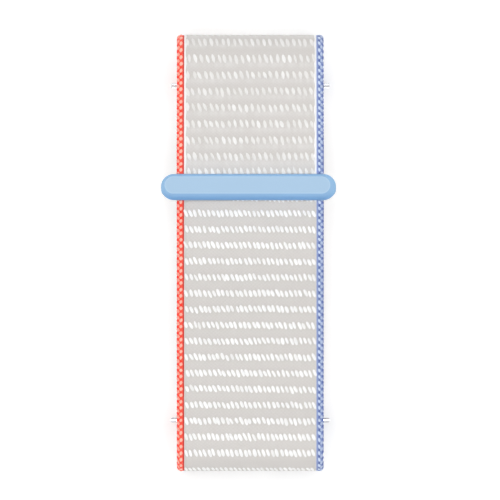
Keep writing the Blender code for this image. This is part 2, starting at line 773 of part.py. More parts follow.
def build():
    clear_scene()
    fabric = {
        "web": make_material("grey_webbing", "#DAD6D3", 0.85),
        "red_edge": make_material("red_edge_braid", "#F4503A", 0.75),
        "blue_edge": make_material("blue_edge_braid", "#94A6D2", 0.75),
    }
    painted = make_material("blue_anodised_ring", "#9FC4E4", 0.38, 0.3)
    steel = make_material("stainless_bar", "#C9CACC", 0.3, 1.0)
    spring_steel = make_material("spring_wire", "#8C8E92", 0.35, 1.0)
    hook_tape = make_material("hook_tape", "#E4E2DF", 0.5)
    rubber = make_material("pull_tab_rubber", "#BFC4C9", 0.65)

    anchor = strip_frame(0, ANCHOR_OFFSET, ANCHOR_LEVEL).translation
    short = webbing("short_strap", short_strap_pairs(), anchor, fabric)
    cut_lever_notch(short["web"], UPPER_BAR, 1)
    build_ring(painted)

    fold_rod = on_loop(0, FOLD_ROD_LEVEL)
    long_strap = webbing("long_strap", long_strap_pairs(), fold_rod, fabric)
    cut_lever_notch(long_strap["web"], LOWER_BAR, -1)

    root_hinge = on_loop(FLAP_GAP / 2 - FLAP_START, FLAP_RING_LEVEL + HALF_STRAP)
    split = -FLAP_SPLIT
    webbing("flap_root", flap_pairs(FLAP_START, FLAP_SPLIT - FLAP_GAP / 2), root_hinge, fabric)
    tip_hinge = on_loop(split, flap_level(split) + HALF_STRAP)
    webbing("flap_tip", flap_pairs(FLAP_SPLIT + FLAP_GAP / 2, FLAP_LENGTH), tip_hinge, fabric)
    build_hook_patch(hook_tape, tip_hinge)
    build_pull_tab(rubber, tip_hinge)
    build_bars(steel, spring_steel)


build()
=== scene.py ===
"""Looks of a hook and loop watch strap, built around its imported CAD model.

Every cloth piece is drawn on a sheet: a distance along the cloth, a place across it and a height
out of its middle toward the soft face. The sheet's line round the loop comes from strip points,
which are a station along the wrist loop, zero at the ring, and a level outward from the middle
of the layer next to the wrist. Units are metres and radians, and +X is toward the blue edge.
"""

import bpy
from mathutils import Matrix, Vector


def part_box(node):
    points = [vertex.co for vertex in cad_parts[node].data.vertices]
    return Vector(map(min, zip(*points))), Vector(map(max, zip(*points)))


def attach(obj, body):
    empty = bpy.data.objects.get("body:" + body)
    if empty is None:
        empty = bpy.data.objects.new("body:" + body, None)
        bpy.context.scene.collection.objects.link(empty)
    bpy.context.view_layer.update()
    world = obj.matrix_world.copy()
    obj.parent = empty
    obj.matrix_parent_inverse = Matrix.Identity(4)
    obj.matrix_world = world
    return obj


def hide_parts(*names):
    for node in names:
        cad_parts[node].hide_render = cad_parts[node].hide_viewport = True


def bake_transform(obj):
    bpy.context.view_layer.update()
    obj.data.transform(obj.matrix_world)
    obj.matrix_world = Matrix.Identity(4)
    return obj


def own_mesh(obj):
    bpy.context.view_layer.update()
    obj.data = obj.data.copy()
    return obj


bl_info = {
    "name": "Hook and Loop Watch Strap",
    "version": (1, 0, 0),
    "blender": (4, 5, 0),
    "location": "3D View > Sidebar > Watch Strap",
    "description": "Weaves, braids and finishes a watch strap round its CAD frame",
    "category": "Object",
}

import math
from functools import partial

import bpy
import numpy as np
from bpy.props import FloatProperty, FloatVectorProperty, IntProperty, PointerProperty

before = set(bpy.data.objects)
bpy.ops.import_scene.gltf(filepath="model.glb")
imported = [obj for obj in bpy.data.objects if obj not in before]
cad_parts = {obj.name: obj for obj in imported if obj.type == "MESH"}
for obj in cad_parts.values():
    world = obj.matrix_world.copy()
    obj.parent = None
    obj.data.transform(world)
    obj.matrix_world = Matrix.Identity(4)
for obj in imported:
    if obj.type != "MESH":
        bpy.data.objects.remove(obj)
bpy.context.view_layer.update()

MILLIMETRES = 1000
QUARTER = math.pi / 2

# Strap and loop, as in the part's source
STRAP_WIDTH = 0.0220
HALF_STRAP = 0.0007
HALF_PLY = 0.000275
EDGE_WIDTH = 0.00105
EDGE_GAP = 0.0002
SEWN_GAP = 0.00015
PLY_STEP = 0.0003
LOOP_SPAN = 0.0657
BAR_INSET = 0.00735
CROWN_RISE = 0.0455
CROWN_RADIUS = 0.1300
CORNER_RADIUS = 0.0060
RING_PLACE = 0.00945
LUG_FLARE = 0.0040
LUG_PLY_LENGTH = 0.0050
LUG_TAIL_LENGTH = 0.0085
BARREL_RADIUS = 0.0009
BARREL_INSET = 0.0007
KNOB_INSET = 0.0035
RELEASE_TRAVEL = 0.0016
SPRING_WIRE_RADIUS = 0.0001
SPRING_PITCH = 0.00075
NOTCH_WIDTH = 0.0050
NOTCH_BEYOND = 0.0024
NOTCH_BEHIND = 0.0026
ROD_CLEARANCE = 0.0001

# Ring and the layers that it holds
RING_POST_WIDTH = 0.00185
RING_BAR_WIDTH = 0.00392
RING_BAR_HEIGHT = 0.0012
RING_POST_CLEARANCE = 0.0003
RING_FOOT_WIDTH = 0.0022
RING_FOOT_ROUND = 0.0004
RING_BAR_CLEARANCE = 0.00035
FACE_DROP = 0.0005
FOLD_ROD_RADIUS = 0.0007
ROD_SEAT = 0.0005
ANCHOR_OFFSET = 0.0003
LAYER_GAP = 0.00025
TAB_TAIL_LENGTH = 0.0085
TAB_PLY_LENGTH = 0.0018
DESCENT_START = 0.0030
DESCENT_END = 0.0240

# Flap, hook patch and pull tab
FLAP_START = 0.0024
FLAP_GAP = 0.0003
FLAP_LIE_GAP = 0.00035
FLAP_SETTLE = 0.0125
FLAP_SPLIT = 0.0370
FLAP_LENGTH = 0.0622
HOOK_RISE_START = 0.0300
PATCH_INSET = 0.0020
PATCH_SIDE_MARGIN = 0.0005
TAPE_THICKNESS = 0.0003
HOOK_HEIGHT = 0.00045
HOOK_GAP = 0.0001
TAPE_SEAT = 0.0001
TAB_LENGTH = 0.0070
TAB_THICKNESS = 0.0010
TAB_CORNER = 0.0040
TAB_RIB_HEIGHT = 0.00025

# Levels of the stacked layers
FOLD_ROD_LEVEL = HALF_STRAP + ROD_CLEARANCE + FOLD_ROD_RADIUS
FLAP_RING_LEVEL = 2 * FOLD_ROD_LEVEL
TAB_TAIL_LEVEL = FLAP_RING_LEVEL + HALF_STRAP + LAYER_GAP + HALF_PLY
ANCHOR_FOLD_RADIUS = HALF_STRAP + SEWN_GAP / 2
ANCHOR_ROD_RADIUS = ANCHOR_FOLD_RADIUS - HALF_PLY - ROD_CLEARANCE
ANCHOR_LEVEL = TAB_TAIL_LEVEL + ANCHOR_FOLD_RADIUS
TAB_PLY_LEVEL = ANCHOR_LEVEL + ANCHOR_FOLD_RADIUS
SHORT_RING_LEVEL = TAB_PLY_LEVEL + HALF_PLY - HALF_STRAP
RING_BAR_LEVEL = TAB_PLY_LEVEL + HALF_PLY + RING_BAR_CLEARANCE
FLAP_LOW_LEVEL = 2 * HALF_STRAP + FLAP_LIE_GAP
PATCH_TIP_LEVEL = HALF_STRAP + HOOK_GAP
PATCH_BACK_LEVEL = PATCH_TIP_LEVEL + HOOK_HEIGHT + TAPE_THICKNESS
FLAP_PATCH_LEVEL = PATCH_BACK_LEVEL + TAPE_SEAT + HALF_STRAP
LUG_FOLD_RADIUS = BARREL_RADIUS + ROD_CLEARANCE + HALF_PLY
LUG_PLY_LEVEL = HALF_STRAP - HALF_PLY
LUG_TAIL_LEVEL = -HALF_STRAP - SEWN_GAP - HALF_PLY
BAR_HEIGHT = LUG_FOLD_RADIUS + HALF_PLY

# Line of the loop
BAR_SPACING = LOOP_SPAN - 2 * BAR_INSET
UPPER_SIDE = LOOP_SPAN / 2 - HALF_STRAP
LOWER_SIDE = LOOP_SPAN / 2 - FLAP_PATCH_LEVEL - HALF_STRAP
HALF_SPAN = (UPPER_SIDE + LOWER_SIDE) / 2
CROWN_CENTRE = (UPPER_SIDE - LOWER_SIDE) / 2
CROWN_TOP = BAR_HEIGHT + CROWN_RISE
CROWN_TURN = math.asin((HALF_SPAN - CORNER_RADIUS) / (CROWN_RADIUS - CORNER_RADIUS))
CORNER_DROP = CROWN_RADIUS - (CROWN_RADIUS - CORNER_RADIUS) * math.cos(CROWN_TURN)
RING_ARC = CROWN_RADIUS * math.asin((RING_PLACE - CROWN_CENTRE) / CROWN_RADIUS)

# Places across
HALF_WIDTH = STRAP_WIDTH / 2
EDGE_START = HALF_WIDTH - EDGE_WIDTH
WEB_HALF_WIDTH = EDGE_START - EDGE_GAP
WINDOW_HALF_WIDTH = HALF_WIDTH + RING_POST_CLEARANCE
RING_HALF_WIDTH = WINDOW_HALF_WIDTH + RING_POST_WIDTH
KNOB_MIDDLE = HALF_WIDTH - BARREL_INSET - KNOB_INSET - RELEASE_TRAVEL / 2

# Stations where the long strap's cloth is parted, and between which its flap bends
FOLD_PART = -0.0012
FLAP_PART = -0.0203
ROOT_BEND = (-0.0024, -0.0080)
TIP_BEND = (-0.0345, -0.0392)

# View of the photograph: a pixel at the crown, and rows of raised yarns in it as places along
# +Y, top row first, with how tall each kind of row looks and the station where it begins or ends
PIXEL = 0.0001502
CAMERA_DISTANCE = 3.0
SHORT_ROWS = 0.03162 - 16.3 * PIXEL * np.arange(9)
FLAP_ROWS = 0.00833 - 15.98 * PIXEL * np.arange(18)
SHORT_ROW_HEIGHT = 0.00125
FLAP_ROW_HEIGHT = 0.00104
SHORT_ROWS_FROM = 0.0010
FLAP_ROWS_TO = -0.0002
ROW_PITCH = 0.00242
ROW_EASE = 0.4
MOST_STRETCH = 1.8
LEAST_SLOPE = 0.3

# Woven ground: its border rolls down, its crisp face is wider and its soft face is pulled in
WEB_CRISP_EXTRA = 0.00014
WEB_SOFT_PULL = 0.00015
BORDER_WIDTH = 0.0003
BORDER_DROP = 0.00009
RIB_SHARE = 0.35
DIP_REACH = 0.00038
TAIL_PLACE = 0.00095
TAIL_REACH = 0.00055
PULL_PLACE = 0.00070
PULL_REACH = 0.00065
STREAK_HEIGHT = 0.000012
STREAK_DRAWS = (97, 66)    # rows, after which they repeat, and columns
TAIL_SHADES = {1: 0.16, -1: 0.04}
EDGE_ROUND = 0.00062
BINDING_DEPTHS = (0.00010, 0.00008)
BINDING_OVERLAPS = (0.00022, 0.00003)
BINDING_TURN = 0.00025    # length of one turn of its yarns

# Raised yarns by face, soft 1 and crisp -1: slope of a row toward the blue edge, lean of a yarn
# in degrees, and the two powers of the beta draw of its tone
ROW_SLOPES = {1: 0.0, -1: -0.0045}
YARN_LEANS = {1: 17, -1: 23}
YARN_TONES = {1: (3.5, 7.5), -1: (8, 0.8)}
ROW_SWAY = 0.000045
SWAY_TURNS = (240, 900)    # radians for each metre across and along
YARN_JITTER = 0.00005
YARN_MARGIN = 0.0002
YARN_LIFT = 0.00001
NOTCH_MARGIN = 0.0006
BRAID_SINK = 0.00002

# Shapes of the ring's coat, hooks, tab, stitches and stage that the source leaves plain
RING_SHIFT = -0.00026    # within its side play in the window, toward the red edge
FACE_SINK = 0.00003
FACE_SINK_WIDTH = 0.0003
BORDER_BLEND = 0.00006
HOOK_HEAD_WIDTH = 0.00044
HOOK_MARGIN = 0.0008
TAPE_RIDGE = 0.00002
TAPE_BORDER_DROP = 0.00008
TAB_ROUND_WIDTH = 0.0005
TAB_ROUND_DEPTH = 0.0003
TAB_RIB_PITCH = 0.0012
TAB_RIB_START = 0.0011
TAB_BORDER = 0.0009
TAB_RIB_EASE = 0.0004
STITCH_ROWS = (0.0056, 0.0076)
STITCH_GAP = 0.00035
STITCH_MARGIN = 0.0006
STITCH_HEIGHT = 0.00016
STITCH_LIFT = 0.00002
STITCH_LEAN = QUARTER - 0.05
FLOOR_LEVEL = -0.0001    # just under the lug folds
FLOOR_REACH = 0.9
SENSOR_WIDTH = 36
CAMERA_PLACE = (-0.25 * PIXEL, 2.95 * PIXEL, 0.049)

# Fineness of the meshes
FINE_STEP = 0.00008
WEAVE_STEP = 0.00024
BRAID_STEP = 0.00031
LINE_POINTS = 4000
FIT_ROUNDS = 4
WEAVE_COLUMNS = 61
TAPE_GRID = (90, 60)
TAB_GRID = (90, 64)
RING_STEPS = 24
ROD_SIDES = 32
COIL_STEPS = 16
COIL_SIDES = 8
SHARP_ANGLE = math.radians(50)
RING_SHARP_ANGLE = math.radians(35)


def linear(code):
    """Linear colour of an sRGB hex value."""
    values = [int(code[place:place + 2], 16) / 255 for place in (1, 3, 5)]
    return tuple(v / 12.92 if v <= 0.04045 else ((v + 0.055) / 1.055) ** 2.4 for v in values)


def spaced(start, end, step):
    """Places from start to end that are at most a step apart."""
    return np.linspace(start, end, int(abs(end - start) / step) + 2)


def bell(place, middle, reach):
    """Bell curve, e to the minus square of the distance from its middle over its reach."""
    return np.exp(-((place - middle) / reach) ** 2)


def eased(place, start, end, first, last):
    """Smooth step from first to last: 3t squared minus 2t cubed between two places."""
    share = np.clip((place - start) / (end - start), 0, 1)
    return first + (last - first) * share * share * (3 - 2 * share)


def border_share(across, half_width):
    """Rises from 0 to 1 over the last part of a half width."""
    return np.clip((np.abs(across) - half_width + BORDER_WIDTH) / BORDER_WIDTH, 0, 1)


def grid_map(across, along, scale=MILLIMETRES):
    """Map of a grid, a pair for each point, in millimetres unless another scale is given."""
    return np.stack(np.broadcast_arrays(across, along), -1).reshape(-1, 2) * scale


def side_stretches(side):
    """Lengths and curvatures from the crown's top to one lug: crown, corner and leg."""
    leg_drop = CROWN_RISE - CORNER_DROP
    leg_inset = (UPPER_SIDE if side > 0 else LOWER_SIDE) - BAR_SPACING / 2
    leg_turn = 2 * math.atan2(leg_inset, leg_drop)
    leg_length = math.hypot(leg_inset, leg_drop) * leg_turn / 2 / math.sin(leg_turn / 2)
    return [
        (CROWN_RADIUS * CROWN_TURN, 1 / CROWN_RADIUS),
        (CORNER_RADIUS * (QUARTER - CROWN_TURN), 1 / CORNER_RADIUS),
        (leg_length, leg_turn / leg_length),
    ]


UPPER_STRETCHES = side_stretches(1)
LOWER_STRETCHES = side_stretches(-1)
UPPER_BAR = sum(length for length, _ in UPPER_STRETCHES) - RING_ARC
LOWER_BAR = -sum(length for length, _ in LOWER_STRETCHES) - RING_ARC


def walk(distance, stretches):
    """Distances out and down and the turned angle after a walk over arcs: each adds its chord."""
    out = np.zeros_like(distance)
    drop = np.zeros_like(distance)
    turned = np.zeros_like(distance)
    left = distance
    for index, (length, curvature) in enumerate(stretches):
        step = left if index == len(stretches) - 1 else np.minimum(left, length)
        half_turn = step * curvature / 2
        chord = step * np.sinc(half_turn / math.pi)
        out = out + chord * np.cos(turned + half_turn)
        drop = drop + chord * np.sin(turned + half_turn)
        turned = turned + 2 * half_turn
        left = left - step
    return out, drop, turned


def on_loop(strip):
    """Y and Z of strip points: the walk's end plus the level along the turned normal."""
    along = strip[..., 0] + RING_ARC
    level = strip[..., 1]
    side = np.where(along >= 0, 1, -1)
    upper = walk(np.abs(along), UPPER_STRETCHES)
    lower = walk(np.abs(along), LOWER_STRETCHES)
    out, drop, turned = (np.where(side > 0, a, b) for a, b in zip(upper, lower))
    y = CROWN_CENTRE + side * (out + level * np.sin(turned))
    return np.stack([y, CROWN_TOP - drop + level * np.cos(turned)], -1)


def axes_at(station):
    """Origin and axes at a station, in the YZ plane: along the loop and out of it."""
    origin, raised = on_loop(np.array([[station, 0.0], [station, 0.001]]))
    out = (raised - origin) / np.linalg.norm(raised - origin)
    return origin, np.array([out[1], -out[0]]), out


def short_level(station):
    """Level of the short strap, eased from the ring's stack down to the layer on the wrist."""
    return eased(station, DESCENT_START, DESCENT_END, SHORT_RING_LEVEL, 0)


def flap_level(station):
    """Level of the flap, eased down from the ring's rod and then up over the hook patch."""
    down = eased(-station, FLAP_START, FLAP_SETTLE, FLAP_RING_LEVEL, FLAP_LOW_LEVEL)
    rise = eased(-station, HOOK_RISE_START, FLAP_SPLIT, 0, FLAP_PATCH_LEVEL - FLAP_LOW_LEVEL)
    return down + rise


def flat_run(start, end, level, half):
    """Pairs of strip points half a thickness above and below a level between two stations."""
    place = spaced(start, end, FINE_STEP)
    middle = level(place) if callable(level) else np.full_like(place, level)
    return np.stack([np.stack([place, middle + out], -1) for out in (half, -half)], 1)


def fold_run(centre, radius, half, start, end):
    """Pairs of strip points outside and inside an arc round a rod."""
    angle = spaced(start, end, FINE_STEP / (radius + abs(half)))
    ray = np.stack([np.cos(angle), np.sin(angle)], -1)
    return np.array(centre) + ray[:, None] * np.array([radius + half, radius - half])[:, None]


def lug_runs(bar, side, half):
    """Runs of one ply that leaves the webbing, goes round a lug bar and ends in a sewn tail."""
    flare = bar - side * LUG_FLARE

    def between(first, last):
        return lambda place: eased(side * place, side * flare, side * bar, first, last)

    ply_start = bar - side * LUG_PLY_LENGTH
    tail_end = bar - side * LUG_TAIL_LENGTH
    fold = fold_run((bar, 0), LUG_FOLD_RADIUS, half, QUARTER, QUARTER - side * math.pi)
    return [
        ("lug_ply", flat_run(ply_start, bar, between(LUG_PLY_LEVEL, LUG_FOLD_RADIUS), half)),
        ("lug_fold", fold),
        ("lug_tail", flat_run(bar, tail_end, between(LUG_TAIL_LEVEL, -LUG_FOLD_RADIUS), -half)),
    ]


def continue_rows(rows, end):
    """Rows beyond the last given one, whose gap eases to the pitch, up to a distance along."""
    step = rows[-1] - rows[-2]
    way = 1 if step > 0 else -1
    gap = abs(step)
    made = [rows[-1]]
    while way * (end - made[-1]) > 0:
        gap = ROW_PITCH + (gap - ROW_PITCH) * ROW_EASE
        made.append(made[-1] + way * gap)
    return made[1:]


class Sheet:
    """Cloth's line through the loop: its middle, the way to its soft face and half thickness."""

    def __init__(self, runs, soft_first=True):
        """Halves the pairs of points of all runs, and adds up the steps between their middles."""
        pairs = np.concatenate([run for _, run in runs])
        first, second = on_loop(pairs[:, 0]), on_loop(pairs[:, 1])
        through = first - second if soft_first else second - first
        thickness = np.linalg.norm(through, axis=1)
        self.middle = (first + second) / 2
        self.toward = through / thickness[:, None]
        self.half = thickness / 2
        step = np.linalg.norm(np.diff(self.middle, axis=0), axis=1)
        self.length = np.concatenate([[0], np.cumsum(np.maximum(step, 1e-9))])
        self.turns = self.length
        self.end = self.length[-1]
        line, toward = self.middle[1] - self.middle[0], self.toward[0]
        self.hand = 1 if line[1] * toward[0] - line[0] * toward[1] > 0 else -1
        lengths = np.split(self.length, np.cumsum([len(run) for _, run in runs])[:-1])
        self.runs = {
            name: (run[:, :, 0].mean(1), part) for (name, run), part in zip(runs, lengths)
        }

    def at(self, run, station):
        """Distance along the cloth where one run passes a station."""
        stations, lengths = self.runs[run]
        order = np.argsort(stations)
        return float(np.interp(station, stations[order], lengths[order]))

    def follow(self, along, values):
        """Values of the line's points, in a straight way between them."""
        return np.interp(along, self.length, values)

    def place(self, along, across, out):
        """World points: the middle at a distance along, plus the height along the soft way."""
        y = self.follow(along, self.middle[:, 0]) + out * self.follow(along, self.toward[:, 0])
        z = self.follow(along, self.middle[:, 1]) + out * self.follow(along, self.toward[:, 1])
        return np.stack(np.broadcast_arrays(across, y, z), -1)

    def slope(self, along):
        """Share of a step along the cloth that the view from above sees, below zero for -Y."""
        reach = 0.0002
        there = self.follow(along + reach, self.middle[:, 0])
        back = self.follow(along - reach, self.middle[:, 0])
        return (there - back) / (2 * reach)

    def furthest(self, way):
        """Distance along at which the cloth is furthest out toward +Y or -Y."""
        return float(self.length[np.argmax(way * self.middle[:, 0])])

    def seen(self, along, face):
        """Place along +Y at which the camera sees one face: farther points draw to the middle."""
        points = self.place(along, 0.0, face * self.follow(along, self.half))
        return points[..., 1] / (1 + (CROWN_TOP - points[..., 2]) / CAMERA_DISTANCE)

    def view_stretch(self, along):
        """How much longer a yarn on a steep stretch is, so it doesn't look short from above."""
        return np.clip(1 / np.maximum(np.abs(self.slope(along)), 0.1), 1, MOST_STRETCH)

    def lay_rows(self, start, end, places, face, height):
        """Sets all rows' distances along; the seen ones move until their middles fit the view."""
        along = np.linspace(start, end, LINE_POINTS)
        y = self.seen(along, face)
        lowest, highest = int(np.argmin(y)), int(np.argmax(y))
        targets = places[::-1]
        rows = np.interp(targets, y[lowest:highest], along[lowest:highest])
        for _ in range(FIT_ROUNDS):
            reach = height / 2 * self.view_stretch(rows)
            middle = (self.seen(rows + reach, face) + self.seen(rows - reach, face)) / 2
            rows = rows + (targets - middle) / np.maximum(self.slope(rows), LEAST_SLOPE)
        before = continue_rows(rows[::-1], 0)
        after = continue_rows(rows, self.end)
        self.rows = np.array([*before[::-1], *rows, *after])
        self.first_seen, self.last_seen = rows[0], rows[-1]

    def loosen(self, start, end):
        """Counts braid length by what the view shows of it between two distances along."""
        shown = (self.length > start) & (self.length < end)
        rate = np.where(shown, 1 / self.view_stretch(self.length), 1)
        self.turns = np.concatenate([[0], np.cumsum(np.diff(self.length) * rate[1:])])


def short_sheet():
    """Short strap from the end of its sewn tab, round the anchor rod and the upper lug bar."""
    tab_end = ANCHOR_OFFSET + TAB_TAIL_LENGTH
    ply_end = ANCHOR_OFFSET + TAB_PLY_LENGTH
    anchor = (ANCHOR_OFFSET, ANCHOR_LEVEL)
    drop = HALF_STRAP + SEWN_GAP + HALF_PLY
    web_end = UPPER_BAR - LUG_PLY_LENGTH - PLY_STEP
    sheet = Sheet([
        ("tab_tail", flat_run(tab_end, ANCHOR_OFFSET, lambda s: short_level(s) - drop, -HALF_PLY)),
        ("anchor_fold", fold_run(anchor, ANCHOR_FOLD_RADIUS, HALF_PLY, -QUARTER, -3 * QUARTER)),
        ("tab_ply", flat_run(ANCHOR_OFFSET, ply_end, TAB_PLY_LEVEL, HALF_PLY)),
        ("web", flat_run(ply_end + PLY_STEP, web_end, short_level, HALF_STRAP)),
        *lug_runs(UPPER_BAR, 1, HALF_PLY),
    ])
    start = sheet.at("tab_ply", SHORT_ROWS_FROM)
    sheet.lay_rows(start, sheet.end, SHORT_ROWS, 1, SHORT_ROW_HEIGHT)
    sheet.loosen(sheet.first_seen, sheet.furthest(1))
    return sheet


def long_sheet():
    """Long strap from the flap's free end, round the ring's rod and back to the lower lug bar."""
    web_end = LOWER_BAR + LUG_PLY_LENGTH + PLY_STEP
    rod = (0, FOLD_ROD_LEVEL)
    sheet = Sheet([
        ("flap", flat_run(-FLAP_LENGTH, 0, flap_level, HALF_STRAP)),
        ("rod_fold", fold_run(rod, FOLD_ROD_LEVEL, HALF_STRAP, QUARTER, -QUARTER)),
        ("web", flat_run(0, web_end, 0, -HALF_STRAP)),
        *lug_runs(LOWER_BAR, -1, -HALF_PLY),
    ], soft_first=False)
    sheet.lay_rows(0.0, sheet.at("flap", FLAP_ROWS_TO), FLAP_ROWS, -1, FLAP_ROW_HEIGHT)
    sheet.loosen(sheet.furthest(-1), sheet.last_seen)
    return sheet


SHORT = short_sheet()
LONG = long_sheet()


def dressed_stretches():
    """Stretches of cloth that are one piece each: name, sheet, ends and how the piece moves."""
    fold_part, flap_part = LONG.at("flap", FOLD_PART), LONG.at("flap", FLAP_PART)
    root_bend, tip_bend = (
        [LONG.place(LONG.at("flap", station), 0.0, 0.0) for station in bend]
        for bend in (ROOT_BEND, TIP_BEND)
    )
    return [
        ("short_strap", SHORT, 0.0, SHORT.end, ("short_strap",)),
        ("long_strap", LONG, fold_part, LONG.end, ("long_strap",)),
        ("flap_root", LONG, flap_part, fold_part, ("long_strap", "flap_root", *root_bend)),
        ("flap_tip", LONG, 0.0, flap_part, ("flap_root", "flap_tip", *tip_bend)),
    ]


STRETCHES = dressed_stretches()


def add_node(tree, kind, inputs=None, out=0, to=None, **settings):
    """Adds a node; an input is a value or the socket that feeds it. Returns one output socket.

    The output also feeds the socket that is given as to.
    """
    node = tree.nodes.new(f"ShaderNode{kind}")
    for name, value in settings.items():
        setattr(node, name, value)
    for name, value in (inputs or {}).items():
        socket = node.inputs[name]
        if isinstance(value, bpy.types.NodeSocket):
            tree.links.new(value, socket)
        else:
            socket.default_value = (*value, 1) if socket.type == "RGBA" else value
    if to:
        tree.links.new(node.outputs[out], to)
    return node.outputs[out]


def start_material(name, **constants):
    """Principled material with its constant sockets set, its node adder and its shader's inputs."""
    material = bpy.data.materials.new(name)
    material.use_nodes = True
    tree = material.node_tree
    inputs = tree.nodes["Principled BSDF"].inputs
    for socket, value in constants.items():
        inputs[socket.replace("_", " ")].default_value = value
    return material, partial(add_node, tree), inputs


def finish_surface(node, shader, share, dull, bright, height, strength, depth):
    """Colours a material by a share from dull to bright, and lifts its surface by a height."""
    node("Mix", {0: share, 6: dull, 7: bright}, 2, shader["Base Color"], data_type="RGBA")
    inputs = {"Strength": strength, "Distance": depth, "Height": height}
    node("Bump", inputs, to=shader["Normal"])


def wave(node, place, cycles):
    """Sine of a place: cycles is how many waves one unit along each axis holds."""
    turn = node(
        "VectorMath", {0: place, 1: [2 * math.pi * c for c in cycles]}, "Value",
        operation="DOT_PRODUCT",
    )
    return node("Math", {0: turn}, operation="SINE")


def grained(name, grain, detail, dull, bright, strength, depth, **constants):
    """Material that one noise over the piece's own place, of a real grain, clouds and roughens."""
    material, node, shader = start_material(name, **constants)
    place = node("TexCoord", out="Object")
    noise = node("TexNoise", {"Vector": place, "Scale": 1 / grain, "Detail": detail})
    finish_surface(node, shader, noise, dull, bright, noise, strength, depth)
    return material


def woven_nylon(settings):
    """Woven multifilament nylon: matt, with crossing yarns, fuzz over 0.2 mm and a faint sheen.

    The real yarns lie 0.1 mm apart. They are drawn 0.30 and 0.26 mm apart so that they show.
    """
    material, node, shader = start_material(
        "woven_nylon", Roughness=0.86, Sheen_Weight=0.12, Sheen_Roughness=0.5, IOR=1.53
    )
    cloth = node("UVMap", uv_map="cloth")
    warp = wave(node, cloth, (1 / (2 * 0.30), 0, 0))
    weft = wave(node, cloth, (0, 1 / (2 * 0.26), 0))
    weave = node("Math", {0: warp, 1: weft}, operation="MULTIPLY")
    fuzz = node("TexNoise", {"Vector": cloth, "Scale": 1 / 0.2, "Detail": 3.0})
    shade, height = (
        node("Math", {0: weave, 1: share, 2: fuzz}, operation="MULTIPLY_ADD")
        for share in (0.22, 0.35)
    )
    colours = {0: shade, 6: linear("#CFCBC7"), 7: linear("#DBD7D4")}
    ground = node("Mix", colours, 2, data_type="RGBA")
    tail = node("Attribute", out="Fac", attribute_name="tail")
    finish_surface(node, shader, tail, ground, settings.float_colour, height, 0.35, 0.00005)
    return material


def textured_yarn(name, dull, bright, filaments=5):
    """Textured filament yarn: soft round floats, each with its own tone.

    Real filaments are 0.02 mm thick. Bundles of them, a few round each yarn, are drawn instead.
    """
    material, node, shader = start_material(
        name, Roughness=0.7, Sheen_Weight=0.1, Sheen_Roughness=0.4, IOR=1.53
    )
    tone = node("Attribute", out="Fac", attribute_name="tone")
    bundles = wave(node, node("UVMap", uv_map="cloth"), (filaments, 1, 0))
    finish_surface(node, shader, tone, dull, bright, bundles, 0.25, 0.00003)
    return material


def braided_nylon(name, deep, bright, seam):
    """Braided dyed nylon ground: saturated and matt, uneven over 0.25 mm, in its seam colour by the
    seam.

    Its slanting strands cross a line over the edge every 0.465 mm, and one along it every 0.625.
    """
    material, node, shader = start_material(name, Roughness=0.75, IOR=1.53)
    cloth = node("UVMap", uv_map="cloth")
    noise = node("TexNoise", {"Vector": cloth, "Scale": 1 / 0.25})
    across = node("SeparateXYZ", {0: cloth})
    half_girth = EDGE_GIRTH[-1] / 2 * MILLIMETRES
    # Beside the seam the ground fades to the seam colour, fully within 0.12 mm and gone by 0.24 mm;
    # on the red edge this is painted shade in the crease by the binding
    from_seam = node("Math", {0: across, 1: half_girth}, operation="PINGPONG")
    beside = node("MapRange", {"Value": from_seam, "From Min": 0.24, "From Max": 0.12})
    ground = node("Mix", {0: noise, 6: deep, 7: bright}, 2, data_type="RGBA")
    strands = wave(node, cloth, (1 / 0.465, 1 / 0.625, 0))
    finish_surface(node, shader, beside, ground, seam, strands, 0.4, 0.00005)
    return material


def coated_alloy(settings):
    """Cast alloy under a satin light blue coat: even on the face, painted darker on its rolled
    border.

    The coat has the grain of fine orange peel, 0.11 mm.
    """
    material, node, shader = start_material("satin_coated_alloy", Roughness=0.6, IOR=1.5)
    # Painted light and shade over one even coat: the border is painted darker and its lower side
    # darker still, the two ends lighter as a painted highlight, and a pale painted highlight rims
    # the face
    coat = settings.face_colour
    parts = {
        "border": settings.border_shade_colour,
        "ends": settings.end_highlight_colour,
        "shade": settings.shade_colour,
    }
    for part, colour in parts.items():
        share = node("Attribute", out="Fac", attribute_name=part)
        coat = node("Mix", {0: share, 6: coat, 7: colour}, 2, data_type="RGBA")
    rim = node("Attribute", out="Fac", attribute_name="rim")
    place = node("TexCoord", out="Object")
    peel = node("TexNoise", {"Vector": place, "Scale": 1 / 0.00011})
    finish_surface(node, shader, rim, coat, settings.rim_highlight_colour, peel, 0.12, 0.00002)
    return material


def moulded_nylon(settings):
    """Injection moulded nylon: slightly glossy and milky, with clouds of 0.7 mm."""
    colours = linear("#D9D6D2"), settings.tape_colour
    return grained("moulded_nylon", 0.0007, 2, *colours, 0.15, 0.00002, Roughness=0.42, IOR=1.53)


def moulded_silicone(settings):
    """Compression moulded silicone: dull, with the spark grain of its mould, 0.2 mm."""
    colours = linear("#B4B9BF"), settings.tab_colour
    return grained("moulded_silicone", 0.0002, 3, *colours, 0.25, 0.00002, Roughness=0.62, IOR=1.41)


def turned_steel():
    """Turned and passivated stainless steel: bright, faintly cloudy over 1.1 mm.

    Real tool rings are 0.03 mm apart. They are drawn 0.11 mm apart so that they show.
    """
    material, node, shader = start_material("turned_stainless_steel", Metallic=1.0, Roughness=0.26)
    place = node("TexCoord", out="Object")
    cloud = node("TexNoise", {"Vector": place, "Scale": 1 / 0.0011})
    rings = wave(node, place, (1 / 0.00011, 0, 0))
    colours = linear("#BCBEC1"), linear("#D3D4D7")
    finish_surface(node, shader, cloud, *colours, rings, 0.12, 0.00001)
    return material


